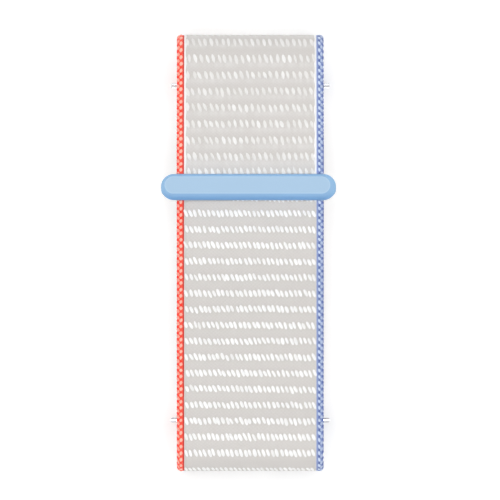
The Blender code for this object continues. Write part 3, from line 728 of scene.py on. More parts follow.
def drawn_wire():
    """Drawn spring wire: darker steel with a dull oxide bloom in patches of 0.4 mm."""
    colours = linear("#7C7E82"), linear("#A2A4A8")
    finish = {"Metallic": 1.0, "Roughness": 0.36}
    return grained("drawn_spring_wire", 0.0004, 2, *colours, 0.1, 0.00001, **finish)


def make_mesh(name, points, faces, uv=None, **layers):
    """Mesh from whole arrays: points, faces as arrays of equal corners, a map and attributes."""
    corners = np.concatenate([face.ravel() for face in faces])
    sizes = np.concatenate([np.full(len(face), face.shape[1]) for face in faces])
    used, corners = np.unique(corners, return_inverse=True)
    corners = corners.ravel()
    mesh = bpy.data.meshes.new(name)
    mesh.vertices.add(len(used))
    mesh.loops.add(len(corners))
    mesh.polygons.add(len(sizes))
    mesh.vertices.foreach_set("co", points[used].astype(np.float32).ravel())
    mesh.loops.foreach_set("vertex_index", corners.astype(np.int32))
    starts = np.concatenate([[0], np.cumsum(sizes)[:-1]])
    mesh.polygons.foreach_set("loop_start", starts.astype(np.int32))
    mesh.update(calc_edges=True)
    if uv is not None:
        layer = mesh.uv_layers.new(name="cloth")
        layer.data.foreach_set("uv", uv[used][corners].astype(np.float32).ravel())
    add_layers(mesh, {key: values[used] for key, values in layers.items()})
    mesh.shade_smooth()
    mesh.set_sharp_from_angle(angle=SHARP_ANGLE)
    return mesh


def add_layers(mesh, layers):
    """Sets one number for each point under each name, for a material to read."""
    for name, values in layers.items():
        layer = mesh.attributes.get(name) or mesh.attributes.new(name, "FLOAT", "POINT")
        layer.data.foreach_set("value", values.astype(np.float32))


def add_object(name, data):
    """Object at the origin."""
    made = bpy.data.objects.new(name, data)
    bpy.context.scene.collection.objects.link(made)
    return made


def add_piece(name, mesh, material, slot, motion, *nodes):
    """Piece that rides on one body, or is baked in place where it spans two, and hides what it
    stands for.
    """
    piece = add_object(name, mesh)
    mesh.materials.append(material)
    if len(motion) == 1:
        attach(piece, motion[0])
    else:
        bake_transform(piece)
    if nodes:
        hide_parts(*nodes)
    return piece


def grid_cells(rows, columns):
    """Four corners of each cell of a grid of points."""
    index = np.arange(rows * columns).reshape(rows, columns)
    return np.stack([index[:-1, :-1], index[1:, :-1], index[1:, 1:], index[:-1, 1:]], -1)


def thick_sheet(soft, crisp, hand, kept=None):
    """Closed sheet between two grids: kept cells face both ways and walls close each border."""
    rows, columns = soft.shape[:2]
    count = rows * columns
    corners = grid_cells(rows, columns)
    if kept is None:
        kept = np.ones(corners.shape[:2], bool)
    top = corners[kept]
    faces = [top, top[:, ::-1] + count]
    padded = np.pad(kept, 1)
    beside = (padded[1:-1, :-2], padded[2:, 1:-1], padded[1:-1, 2:], padded[:-2, 1:-1])
    for side, neighbour in enumerate(beside):
        border = corners[kept & ~neighbour]
        first = border[:, side]
        second = border[:, (side + 1) % 4]
        faces.append(np.stack([second, first, first + count, second + count], 1))
    faces = np.concatenate(faces)
    if hand < 0:
        faces = faces[:, ::-1]
    return np.concatenate([soft.reshape(-1, 3), crisp.reshape(-1, 3)]), [faces]


def lofted(loops, way=1):
    """Points and faces of a loft through equal closed loops, with flat ends.

    Way -1 turns the faces round, for loops that run the other way.
    """
    count, size = loops.shape[:2]
    index = np.arange(count * size).reshape(count, size)
    after = np.roll(index, -1, axis=1)
    quads = np.stack([index[:-1], index[1:], after[1:], after[:-1]], -1).reshape(-1, 4)
    return loops.reshape(-1, 3), [face[:, ::way] for face in (quads, index[:1], index[-1:, ::-1])]


def revolved(places, radii, sides):
    """Closed shape turned about its first axis: rings of given places and radii between poles.

    It returns the points, a map of the share round and the place, and the faces.
    """
    angle = np.arange(sides) * 2 * math.pi / sides
    place = np.array(places[1:-1])[:, None]
    radius = np.array(radii)[:, None]
    loops = np.broadcast_arrays(place, radius * np.cos(angle), radius * np.sin(angle))
    poles = [[places[0], 0, 0], [places[-1], 0, 0]]
    points = np.concatenate([np.stack(loops, -1).reshape(-1, 3), poles])
    around = grid_map(angle / (2 * math.pi), place, 1)
    uv = np.concatenate([around, [[0, places[0]], [0, places[-1]]]])
    index = np.arange(place.size * sides).reshape(-1, sides)
    after = np.roll(index, -1, axis=1)
    pole = np.full(sides, place.size * sides)
    quads = np.stack([index[1:], after[1:], after[:-1], index[:-1]], -1).reshape(-1, 4)
    caps = np.concatenate([
        np.stack([index[0], after[0], pole], -1),
        np.stack([after[-1], index[-1], pole + 1], -1),
    ])
    return points, uv, [quads, caps]


def slug(rings, sides, fullness, taper):
    """Closed slug along its first axis: ring radius is (1 - |t|^fullness)^taper, poles at 1."""
    share = np.sin(np.linspace(-1, 1, rings + 2)[1:-1] * QUARTER * 0.97)
    return revolved([-1, *share, 1], (1 - np.abs(share) ** fullness) ** taper, sides)


def yarn_spots(shape, **values):
    """Whole arrays of what each yarn is given, one value for each yarn of a grid."""
    return {key: np.broadcast_to(value, shape).ravel() for key, value in values.items()}


def pick(spots, kept):
    """Spots of the kept yarns alone."""
    return {key: values[kept] for key, values in spots.items()}


def shaped_yarns(shape, spots, lift):
    """Local places of each copy's points: length and width turned by the tilt, and the height."""
    points = shape[0]
    spots = {key: values[:, None] for key, values in spots.items()}
    long_way = points[:, 0] * spots["length"] / 2
    wide_way = points[:, 1] * spots["width"] / 2
    cosine, sine = np.cos(spots["tilt"]), np.sin(spots["tilt"])
    along = spots["along"] + (long_way * cosine + wide_way * sine) * spots["stretch"]
    across = spots["across"] - long_way * sine + wide_way * cosine
    return along, across, points[:, 2] * spots["height"] + lift


def copies_mesh(name, points, shape, tone, mirrored):
    """Mesh of placed copies of a shape, each with its tone; mirrored copies turn their faces."""
    _, uv, faces = shape
    count, size = points.shape[:2]
    shift = np.arange(count)[:, None, None] * size
    way = -1 if mirrored else 1
    faces = [(face[None, :, ::way] + shift).reshape(-1, face.shape[1]) for face in faces]
    uv = np.tile(uv, (count, 1))
    return make_mesh(name, points.reshape(-1, 3), faces, uv, tone=np.repeat(tone, size))


def yarns_on_face(name, sheet, face, spots, shape, lift=0.0):
    """Mesh of raised yarns on one face of a sheet: soft is 1 and crisp is -1."""
    along, across, up = shaped_yarns(shape, spots, lift)
    points = sheet.place(along, across, face * (sheet.follow(along, sheet.half) + up))
    return copies_mesh(name, points, shape, spots["tone"], sheet.hand * face > 0)


def edge_outline():
    """Dense outline of an edge's free side for full thickness, from its lower inner corner.

    The flats run out from the seam, and a superellipse rounds the free border between them.
    """
    flat = np.linspace(EDGE_START, HALF_WIDTH - EDGE_ROUND, 20)
    angle = np.linspace(-QUARTER, QUARTER, 60)
    bulge = HALF_WIDTH - EDGE_ROUND + EDGE_ROUND * np.abs(np.cos(angle)) ** 0.9
    rise = HALF_STRAP * np.sign(np.sin(angle)) * np.abs(np.sin(angle)) ** 0.95
    x = np.concatenate([flat[:-1], bulge, flat[::-1][1:]])
    level = np.full(len(flat) - 1, HALF_STRAP)
    out = np.concatenate([-level, rise, level])
    girth = np.concatenate([[0], np.cumsum(np.hypot(np.diff(x), np.diff(out)))])
    return girth, x, out


EDGE_GIRTH, EDGE_X, EDGE_OUT = edge_outline()

# Floats on the half of an edge beside one face, from the seam outward: place as a share of that
# half on the red and on the blue edge, start as a share of the pitch, length and width as shares
# of the settings, tone, and lean in degrees. Pale and deep floats make a chequer.
BRAID_FLOATS = np.array([
    [0.32, 0.29, 0.0, 1.00, 1.00, 0.97, 20],
    [0.32, 0.29, 0.5, 0.70, 0.85, 0.08, 20],
    [0.66, 0.55, 0.5, 0.85, 1.40, 0.70, 30],
    # Painted shade: this outermost column takes the deep tone where its floats bulge over the
    # rounded border
    [0.78, 0.78, 0.0, 0.73, 1.30, 0.01, 20],
])


def on_edge(sheet, along, girth, up, side):
    """World points over an edge's outline: along the cloth, round the outline and out of it."""
    reach = 0.00004
    middle = np.clip(girth, reach, EDGE_GIRTH[-1] - reach)
    step_x, step_out = (
        np.interp(middle + reach, EDGE_GIRTH, line) - np.interp(middle - reach, EDGE_GIRTH, line)
        for line in (EDGE_X, EDGE_OUT)
    )
    size = np.hypot(step_x, step_out)
    half = sheet.follow(along, sheet.half)
    x = np.interp(girth, EDGE_GIRTH, EDGE_X) + up * step_out / size
    out = np.interp(girth, EDGE_GIRTH, EDGE_OUT) / HALF_STRAP * half - up * step_x / size
    return sheet.place(along, side * x, out)


def measure(name, default, description, unit="LENGTH"):
    """Setting that holds a size in metres, or another quantity."""
    return FloatProperty(name=name, description=description, default=default, unit=unit)


def whole(name, default, description):
    """Setting that holds a whole number."""
    return IntProperty(name=name, description=description, default=default)


def tint(name, code, description):
    """Setting that holds a colour, from its sRGB hex value."""
    return FloatVectorProperty(
        name=name, description=description, default=linear(code), size=3, subtype="COLOR"
    )


class WebbingSettings(bpy.types.PropertyGroup):
    """Sizes and colours of the woven ground and its raised yarns."""

    crisp_count: whole("Crisp yarns", 29, "Raised yarns in a row of the crisp face")
    soft_count: whole("Soft yarns", 22, "Raised yarns in a row of the soft face")
    crisp_length: measure("Crisp length", 0.00112, "Length of a raised yarn on the crisp face")
    crisp_width: measure("Crisp width", 0.00047, "Width of a raised yarn on the crisp face")
    soft_length: measure("Soft length", 0.00128, "Length of a raised yarn on the soft face")
    soft_width: measure("Soft width", 0.00052, "Width of a raised yarn on the soft face")
    yarn_height: measure("Yarn height", 0.00011, "Height of a raised yarn over the ground")
    row_depth: measure("Row depth", 0.00006, "Depth of the ground where a row enters it")
    float_colour: tint("Raised yarn", "#FFFFFF", "Colour of the raised yarns")
    dull_colour: tint("Dull yarn", "#E6E4E1", "Colour of the dullest raised yarns")
    seed: whole("Seed", 7, "Start of the random draws")


class EdgeSettings(bpy.types.PropertyGroup):
    """Sizes and colours of the braided edges."""

    pitch: measure("Braid pitch", 0.00093, "Distance between floats of one column")
    float_length: measure("Float length", 0.00062, "Length of a braid float")
    float_width: measure("Float width", 0.00043, "Width of a braid float")
    float_height: measure("Float height", 0.00010, "Height of a braid float over its ground")
    red_deep: tint("Red ground", "#FF2A10", "Darkest red of the red edge")
    red_ground: tint("Red yarn", "#FF785F", "Saturated red of the red edge")
    red_float: tint("Pale red float", "#FFC4B0", "Palest float of the red edge")
    # The red at the seam is painted shade, darker than the edge's dye, in the crease beside the
    # binding
    red_seam: tint("Red at the seam", "#CC2410", "Red of the edge beside its seam")
    blue_deep: tint("Blue ground", "#4A62A8", "Darkest blue of the blue edge")
    blue_ground: tint("Blue yarn", "#A6B6DE", "Middle blue of the blue edge")
    blue_float: tint("Pale blue float", "#D3E1F6", "Palest float of the blue edge")
    blue_seam: tint("Blue at the seam", "#93A4D6", "Blue of the edge beside its seam")
    seed: whole("Seed", 19, "Start of the random draws")


class RingSettings(bpy.types.PropertyGroup):
    """Borders and colours of the buckle ring, whose border, end and rim colours paint shade and
    highlights.
    """

    top_border: measure("Top border", 0.00042, "Rolled border toward the short strap")
    bottom_border: measure("Bottom border", 0.00095, "Rolled border toward the flap")
    end_border: measure("End border", 0.00074, "Mean width of the rolled border at the two ends")
    face_shift: measure("Face shift", -0.00017, "How far the face lies toward the blue edge")
    rim_highlight_width: measure("Rim width", 0.00018, "Width of the pale rim just inside the flat face")
    face_colour: tint("Face", "#A4C4E0", "Colour of the flat face")
    # The border and under border colours are painted shade, and the end and rim colours are painted
    # highlights, all on one even coat
    border_shade_colour: tint("Border", "#89B2DA", "Colour of the rolled border")
    shade_colour: tint("Under border", "#6496C8", "Colour of the border's lower side")
    end_highlight_colour: tint("End border", "#8FB8DD", "Colour of the border at the ends")
    rim_highlight_colour: tint("Rim", "#B0CFE8", "Colour of the pale rim")


class ClosureSettings(bpy.types.PropertyGroup):
    """Hook patch, pull tab and stitches."""

    hook_pitch: measure("Hook pitch", 0.00090, "Distance between hooks")
    stitch_length: measure("Stitch length", 0.00150, "Length of one stitch")
    stitch_width: measure("Thread width", 0.00030, "Width of the sewing thread")
    tape_colour: tint("Hook tape", "#E4E2DF", "Colour of the moulded hook tape")
    tab_colour: tint("Pull tab", "#C3C7CC", "Colour of the moulded grip")


class StageSettings(bpy.types.PropertyGroup):
    """Light and camera."""

    world_strength: measure("Sky", 0.19, "Strength of the even studio light", "NONE")
    key_power: measure("Key light", 6.3, "Power of the overhead soft box", "POWER")
    side_power: measure("Side light", 2.2, "Power of each low soft box", "POWER")
    picture_width: measure("Picture width", 0.0751, "Width of the view at the crown")
    camera_height: measure("Camera height", CAMERA_DISTANCE, "Height of the camera over the crown")


def in_notch(sheet, along, across, margin=0.0):
    """True where a cloth point lies in the window for a release knob in a lug fold."""
    place = sheet.place(along, 0.0, 0.0)[..., 1:]
    found = False
    for bar, side in ((UPPER_BAR, 1), (LOWER_BAR, -1)):
        centre, forward, out = axes_at(bar)
        ahead = side * ((place - centre) @ forward)
        level = (place - centre) @ out
        near = (ahead > -NOTCH_BEHIND - margin) & (ahead < NOTCH_BEYOND + margin)
        near = near & (level < LUG_TAIL_LEVEL + HALF_PLY + SEWN_GAP / 2 + margin)
        near = near & (np.abs(ahead) + np.abs(level) < NOTCH_BEHIND + NOTCH_BEYOND + PLY_STEP)
        found = found | (near & (np.abs(across * side - KNOB_MIDDLE) < NOTCH_WIDTH / 2 + margin))
    return found


def weave_heights(sheet, along, across, face, depth, draws):
    """Height of the ground over its flat face, its paleness, and the pull on its border.

    A bell shaped dip lies at each row and a low rib, half a sine, between rows. Behind each row
    a bell of pale yarn tails has its own strength in each column, and a bell pulls the border in.
    """
    index = np.clip(np.searchsorted(sheet.rows, along), 1, len(sheet.rows) - 1)
    back = sheet.rows[index] - along
    before = along - sheet.rows[index - 1]
    columns = draws.shape[1]
    column = np.clip(((across / WEB_HALF_WIDTH + 1) / 2 * columns).astype(int), 0, columns - 1)
    streak = draws[index % len(draws), column]
    rib = np.sin(np.pi * np.clip(back / (back + before), 0, 1))
    dip = bell(np.minimum(back, before), 0, DIP_REACH)
    height = depth * (RIB_SHARE * rib - dip) + STREAK_HEIGHT * (streak - 0.5)
    tail = bell(back, TAIL_PLACE, TAIL_REACH) * (0.5 + streak) * TAIL_SHADES[face]
    return height, tail, bell(back, PULL_PLACE, PULL_REACH)


class STRAP_OT_weave(bpy.types.Operator):
    """Weave the grey ground of each stretch of webbing"""

    bl_idname = "watch_strap.weave"
    bl_label = "Woven Ground"

    def execute(self, context):
        settings = context.scene.strap_webbing
        material = woven_nylon(settings)
        # A sine sets the columns closer beside the borders, where the faces fall with a cube
        crowding = 1.35
        turn = np.linspace(-1, 1, WEAVE_COLUMNS) * crowding
        across = WEB_HALF_WIDTH * np.sin(turn) / math.sin(crowding)
        border = border_share(across, WEB_HALF_WIDTH)
        for number, (name, sheet, start, end, motion) in enumerate(STRETCHES):
            draws = np.random.default_rng([settings.seed, number]).random(STREAK_DRAWS)
            along = spaced(start, end, WEAVE_STEP)[:, None]
            half = sheet.follow(along, sheet.half)
            grids = []
            tails = []
            for face in (1, -1):
                height, tail, pull = weave_heights(
                    sheet, along, across, face, settings.row_depth, draws
                )
                height = height * np.clip(half / HALF_STRAP, 0.3, 1)
                out = half + height - BORDER_DROP * border ** 3
                moved = -WEB_SOFT_PULL * pull if face > 0 else WEB_CRISP_EXTRA
                place = across + np.sign(across) * border * moved
                grids.append(sheet.place(along, place, face * out))
                tails.append(np.broadcast_to(tail, out.shape).ravel())
            middles = (along[1:] + along[:-1]) / 2, (across[1:] + across[:-1]) / 2
            points, faces = thick_sheet(*grids, sheet.hand, ~in_notch(sheet, *middles))
            flat = np.tile(grid_map(across, along), (2, 1))
            mesh = make_mesh(f"{name}_weave", points, faces, flat, tail=np.concatenate(tails))
            add_piece(mesh.name, mesh, material, "grey_webbing", motion, f"{name}_web")
        return {"FINISHED"}


def shown_spans(name, sheet):
    """Spans along each face where raised yarns stand clear of what lies against it."""
    if name == "short_strap":
        return {
            1: [
                (sheet.at("tab_tail", 0.0082), sheet.at("tab_tail", 0.0034)),
                (sheet.at("tab_tail", 0.0004), sheet.at("lug_tail", UPPER_BAR - 0.0078)),
            ],
            -1: [(sheet.at("web", 0.0096), sheet.at("web", UPPER_BAR - 0.0092))],
        }
    fold_start, fold_end = sheet.runs["rod_fold"][1][[0, -1]]
    return {
        1: [
            (sheet.at("flap", -0.0385), sheet.at("flap", -0.0040)),
            (sheet.at("web", -0.0030), sheet.at("lug_tail", LOWER_BAR + 0.0078)),
        ],
        -1: [
            (sheet.at("flap", -0.0618), sheet.at("flap", -0.0012)),
            ((2 * fold_start + fold_end) / 3, sheet.at("web", LOWER_BAR + 0.0092)),
        ],
    }


def row_spots(sheet, face, start, end, spans, settings, random):
    """Places and sizes of the raised yarns of each row between two distances, with jitter.

    Each row is shifted by part of a pitch and sways by a long low wave; the crisp face's rows
    also lean a little toward the blue edge, as in the photograph.
    """
    rows = sheet.rows[(sheet.rows >= start) & (sheet.rows < end)]
    rows = np.array([row for row in rows if any(a < row < b for a, b in spans)])[:, None]
    if not len(rows):
        return None
    crisp = face < 0
    kind = "crisp" if crisp else "soft"
    count, length, width = (
        getattr(settings, f"{kind}_{part}") for part in ("count", "length", "width")
    )
    half_width = WEB_HALF_WIDTH + (WEB_CRISP_EXTRA if crisp else 0)
    pitch = 2 * half_width / count
    shape = (len(rows), count)
    shift = random.uniform(-0.25, 0.25, rows.shape)
    place = (np.arange(count) + 0.5 + shift) * pitch - half_width
    across = place + random.normal(0, 0.07, shape) * pitch
    limit = half_width - YARN_MARGIN
    across = np.clip(across, -limit, limit)
    ripple = np.cos(across * SWAY_TURNS[0] + rows * SWAY_TURNS[1])
    sway = random.normal(0, ROW_SWAY, rows.shape) * ripple
    along = rows + sway + ROW_SLOPES[face] * across + random.normal(0, YARN_JITTER, shape)
    visible = (rows > sheet.first_seen - PIXEL) & (rows < sheet.last_seen + PIXEL)
    tone = random.beta(*YARN_TONES[face], shape)
    return yarn_spots(
        shape,
        along=along,
        across=across,
        length=length * (1 + random.normal(0, 0.07, shape)),
        width=width * (1 + random.normal(0, 0.09, shape)),
        height=settings.yarn_height * (1 + random.normal(0, 0.06, shape)),
        tilt=np.radians(random.normal(YARN_LEANS[face], 4, shape)),
        stretch=np.where(visible, sheet.view_stretch(rows), 1),
        tone=tone,
    )


class STRAP_OT_float_yarns(bpy.types.Operator):
    """Raise the rows of white yarns on both faces of the webbing"""

    bl_idname = "watch_strap.float_yarns"
    bl_label = "Raised Yarns"

    def execute(self, context):
        settings = context.scene.strap_webbing
        material = textured_yarn("textured_nylon", settings.dull_colour, settings.float_colour)
        kinds = ((1, "soft", slug(5, 6, 2.0, 0.7)), (-1, "crisp", slug(5, 6, 2.8, 0.55)))
        for number, (name, sheet, start, end, motion) in enumerate(STRETCHES):
            for face, label, shape in kinds:
                random = np.random.default_rng([settings.seed, 31 + number, face + 1])
                spans = shown_spans(name, sheet)[face]
                spots = row_spots(sheet, face, start, end, spans, settings, random)
                if spots is None:
                    continue
                cut = in_notch(sheet, spots["along"], spots["across"], NOTCH_MARGIN)
                full_name = f"{name}_{label}_yarns"
                mesh = yarns_on_face(full_name, sheet, face, pick(spots, ~cut), shape, YARN_LIFT)
                add_piece(full_name, mesh, material, "grey_webbing", motion)
        return {"FINISHED"}


class STRAP_OT_edge_braids(bpy.types.Operator):
    """Braid the red and the blue edge of each stretch"""

    bl_idname = "watch_strap.edge_braids"
    bl_label = "Braided Edges"

    def execute(self, context):
        settings = context.scene.strap_edges
        grounds = {}
        floats = {}
        for colour in ("red", "blue"):
            deep, ground, pale, seam = (
                getattr(settings, f"{colour}_{part}")
                for part in ("deep", "ground", "float", "seam")
            )
            grounds[colour] = braided_nylon(f"braided_{colour}_nylon", deep, ground, seam)
            floats[colour] = textured_yarn(f"textured_{colour}_nylon", deep, pale, 3)
        for number, (name, sheet, start, end, motion) in enumerate(STRETCHES):
            for colour, side in (("red", -1), ("blue", 1)):
                slot = f"{colour}_edge_braid"
                full_name = f"{name}_{colour}_braid"
                mesh = self.ground_mesh(full_name, sheet, start, end, side)
                edge = f"{name}_{colour}_edge"
                add_piece(full_name, mesh, grounds[colour], slot, motion, edge)
                random = np.random.default_rng([settings.seed, number, side + 1])
                full_name = f"{name}_{colour}_yarns"
                mesh = self.yarn_mesh(full_name, sheet, start, end, side, settings, random)
                add_piece(full_name, mesh, floats[colour], slot, motion)
        return {"FINISHED"}

    def ground_mesh(self, name, sheet, start, end, side):
        """Closed tube: the edge's outline carried along the cloth, with flat ends."""
        along = spaced(start, end, BRAID_STEP)[:, None]
        girth = np.linspace(0, EDGE_GIRTH[-1], 15)
        grid = on_edge(sheet, along, girth, -BRAID_SINK, side)
        points, faces = lofted(grid, -1 if sheet.hand * side > 0 else 1)
        return make_mesh(name, points, faces, grid_map(girth, along))

    def yarn_mesh(self, name, sheet, start, end, side, settings, random):
        """Columns of floats on both halves of the outline, which are half a pitch apart."""
        shape = slug(5, 6, 1.7, 0.75)
        facing = np.repeat([1, -1], len(BRAID_FLOATS))
        red, blue, phase, length, width, tone, lean = np.tile(BRAID_FLOATS, (2, 1)).T
        place = red if side < 0 else blue
        girth = EDGE_GIRTH[-1] / 2 * np.where(facing > 0, place, 2 - place)
        turns = np.arange(math.ceil(sheet.turns[-1] / settings.pitch))[:, None]
        count = (len(turns), len(place))
        wound = (turns + phase + 0.25 * facing) * settings.pitch
        along = np.interp(wound, sheet.turns, sheet.length)
        rate = np.diff(sheet.length) / np.diff(sheet.turns)
        spots = yarn_spots(
            count,
            along=along + random.normal(0, 0.03, count) * settings.pitch,
            across=girth + random.normal(0, 0.00001, count),
            length=settings.float_length * length * (1 + random.normal(0, 0.06, count)),
            width=settings.float_width * width * (1 - 0.12 * side + random.normal(0, 0.06, count)),
            height=settings.float_height * (1 + random.normal(0, 0.06, count)),
            tilt=np.radians(facing * lean + random.normal(0, 6, count)),
            stretch=np.interp(along, sheet.length[1:], rate),
            tone=np.clip(tone + random.normal(0, 0.03, count), 0, 1),
        )
        spots = pick(spots, ((along >= start) & (along < end)).ravel())
        along, girth, up = shaped_yarns(shape, spots, 0.0)
        points = on_edge(sheet, np.clip(along, 0, sheet.end), girth, up, side)
        return copies_mesh(name, points, shape, spots["tone"], sheet.hand * side < 0)


class STRAP_OT_seam_binding(bpy.types.Operator):
    """Lay the white binding between the webbing and its edges"""

    bl_idname = "watch_strap.seam_binding"
    bl_label = "Seam Binding"

    def execute(self, context):
        colours = (linear("#DAD8D5"), linear("#FFFFFF"))
        material = textured_yarn("textured_binding_nylon", *colours, 2)
        # A strip that bulges along half a sine, from under the webbing to under the edge
        inner = WEB_HALF_WIDTH - BINDING_OVERLAPS[0]
        outer = EDGE_START + BINDING_OVERLAPS[1]
        share = np.linspace(0, 1, 8)
        across = inner + (outer - inner) * share
        depth = BINDING_DEPTHS[0] - BINDING_DEPTHS[1] * np.sin(np.pi * share)
        for name, sheet, start, end, motion in STRETCHES:
            along = spaced(start, end, BRAID_STEP)[:, None]
            half = sheet.follow(along, sheet.half)
            points = []
            faces = []
            for side in (-1, 1):
                soft, crisp = (
                    sheet.place(along, side * across, face * (half - depth)) for face in (1, -1)
                )
                made, quads = thick_sheet(soft, crisp, sheet.hand * side)
                faces.append(quads[0] + len(points) * len(made))
                points.append(made)
            points = np.concatenate(points)
            tone = np.tile(np.repeat([1.0, 0.0], len(points) // 4), 2)
            flat = np.tile(grid_map(across, along, 1 / BINDING_TURN), (4, 1))
            mesh = make_mesh(f"{name}_binding", points, faces, flat, tone=tone)
            add_piece(mesh.name, mesh, material, "grey_webbing", motion)
        return {"FINISHED"}


def ring_to_world(points):
    """Points of the ring's own frame in the row frame: X across, Y along the loop, Z out of it."""
    origin, ahead, out = axes_at(0.0)
    flat = origin + points[:, 1:2] * ahead + points[:, 2:3] * out
    return np.concatenate([points[:, :1] + RING_SHIFT, flat], 1)


def stadium_loops(outlines):
    """Loops of points on round-ended outlines: half length, half width, both shifts, height."""
    angle = np.linspace(0, math.pi, RING_STEPS + 1)
    loops = []
    for half_length, half_width, *shift, height in outlines:
        straight = half_length - half_width
        right = np.stack([straight + half_width * np.sin(angle), half_width * np.cos(angle)], -1)
        loop = np.concatenate([right, -right]) + shift
        loops.append(np.concatenate([loop, np.full((len(loop), 1), height)], 1))
    return np.array(loops)


class STRAP_OT_buckle_ring(bpy.types.Operator):
    """Cast the ring: a rolled outer bar, two posts and two rods in one piece"""

    bl_idname = "watch_strap.buckle_ring"
    bl_label = "Buckle Ring"

    def execute(self, context):
        settings = context.scene.strap_ring
        narrowed = (settings.top_border + settings.bottom_border) / 2
        shift = (settings.bottom_border - settings.top_border) / 2
        loops = stadium_loops(self.outlines(settings, narrowed, shift))
        body = add_object("ring_blank", make_mesh("ring_blank", *lofted(loops)))
        extras = [body]
        for operation, loops in self.cutters():
            name = f"ring_part_{len(extras)}"
            modifier = body.modifiers.new(name, "BOOLEAN")
            modifier.operation = operation
            modifier.solver = "EXACT"
            modifier.object = add_object(name, make_mesh(name, *lofted(loops, -1)))
            extras.append(modifier.object)
        graph = context.evaluated_depsgraph_get()
        mesh = bpy.data.meshes.new_from_object(body.evaluated_get(graph))
        for extra in extras:
            bpy.data.objects.remove(extra, do_unlink=True)
        points = np.zeros(len(mesh.vertices) * 3)
        mesh.vertices.foreach_get("co", points)
        points = points.reshape(-1, 3)
        mesh.vertices.foreach_set("co", ring_to_world(points).astype(np.float32).ravel())
        add_layers(mesh, self.shares(points, settings, narrowed, shift))
        mesh.shade_smooth()
        mesh.set_sharp_from_angle(angle=RING_SHARP_ANGLE)
        material = coated_alloy(settings)
        add_piece("coated_ring", mesh, material, "blue_anodised_ring", ("ring",), "buckle_ring")
        return {"FINISHED"}

    def outlines(self, settings, narrowed, shift):
        """Round-ended outlines up the ring: a rounded foot, a rolled border and a sunk face.

        The foot and the border follow a sine and a cosine over a quarter turn.
        """
        foot = FOLD_ROD_LEVEL - RING_FOOT_WIDTH / 2
        top = RING_BAR_LEVEL + RING_BAR_HEIGHT
        half_bar = RING_BAR_WIDTH / 2
        made = []
        for share in np.linspace(0, 1, 5):
            inset = RING_FOOT_ROUND * (1 - math.sin(share * QUARTER))
            rise = RING_FOOT_ROUND * (1 - math.cos(share * QUARTER))
            made.append((RING_HALF_WIDTH - inset, RING_FOOT_WIDTH / 2 - inset, 0, 0, foot + rise))
        made.append((RING_HALF_WIDTH, half_bar, 0, 0, RING_BAR_LEVEL))
        for share in (*np.linspace(0, 1, 12)[:-1], 0.95, 0.975, 1.0):
            roll = 1 - math.cos(share * QUARTER)
            made.append((
                RING_HALF_WIDTH - settings.end_border * roll,
                half_bar - narrowed * roll,
                settings.face_shift * roll,
                shift * roll,
                top - FACE_DROP + FACE_DROP * math.sin(share * QUARTER) ** 0.9,
            ))
        for inset in (0.00003, 0.00010, 0.00020, 0.00060):
            made.append((
                RING_HALF_WIDTH - settings.end_border - inset,
                half_bar - narrowed - inset,
                settings.face_shift,
                shift,
                top - FACE_SINK * min(inset / FACE_SINK_WIDTH, 1),
            ))
        return made

    def cutters(self):
        """Loops of the window that is cut out, a box, and of the two rods that are added."""
        x, y = WINDOW_HALF_WIDTH, RING_BAR_WIDTH
        corners = np.array([(-x, -y), (x, -y), (x, y), (-x, y)])
        levels = (-0.001, RING_BAR_LEVEL)
        yield "DIFFERENCE", np.array([np.insert(corners, 2, level, axis=1) for level in levels])
        ends = np.linspace(-1, 1, 9) * (WINDOW_HALF_WIDTH + ROD_SEAT)
        angle = np.arange(ROD_SIDES) * 2 * math.pi / ROD_SIDES
        for radius, offset, level in (
            (ANCHOR_ROD_RADIUS, ANCHOR_OFFSET, ANCHOR_LEVEL), (FOLD_ROD_RADIUS, 0, FOLD_ROD_LEVEL),
        ):
            ring = np.stack([offset + radius * np.cos(angle), level + radius * np.sin(angle)], -1)
            yield "UNION", np.array([np.insert(ring, 0, end, axis=1) for end in ends])

    def shares(self, points, settings, narrowed, shift):
        """How far each point takes painted shade on border and lower side, and painted highlight on
        ends and rim.

        The distance from the face's long axis, less the face's half width, says how far outside
        the face a point is, and the direction of that distance parts the ends from the sides.
        """
        face_half = RING_BAR_WIDTH / 2 - narrowed
        straight = RING_HALF_WIDTH - settings.end_border - face_half
        x = points[:, 0] - settings.face_shift
        x = np.sign(x) * np.maximum(np.abs(x) - straight, 0)
        y = points[:, 1] - shift
        beyond = np.maximum(np.hypot(x, y), 1e-9)
        outside = beyond - face_half
        border = np.clip(outside / BORDER_BLEND + 0.5, 0, 1)
        away = np.clip(outside / settings.end_border, 0, 1)
        rim = np.clip(1 + outside / settings.rim_highlight_width, 0, 1) * (1 - border)
        raised = points[:, 2] > RING_BAR_LEVEL + RING_BAR_HEIGHT - FACE_DROP
        # Painted shade on the border and, deeper, on its lower side; painted highlight on the ends
        # and on the face's rim
        return {
            "border": border,
            "ends": border * (x / beyond) ** 2,
            "shade": 0.9 * away ** 1.3 * np.clip(-y / beyond, 0, 1) ** 3,
            "rim": np.where(raised, rim, 0),
        }


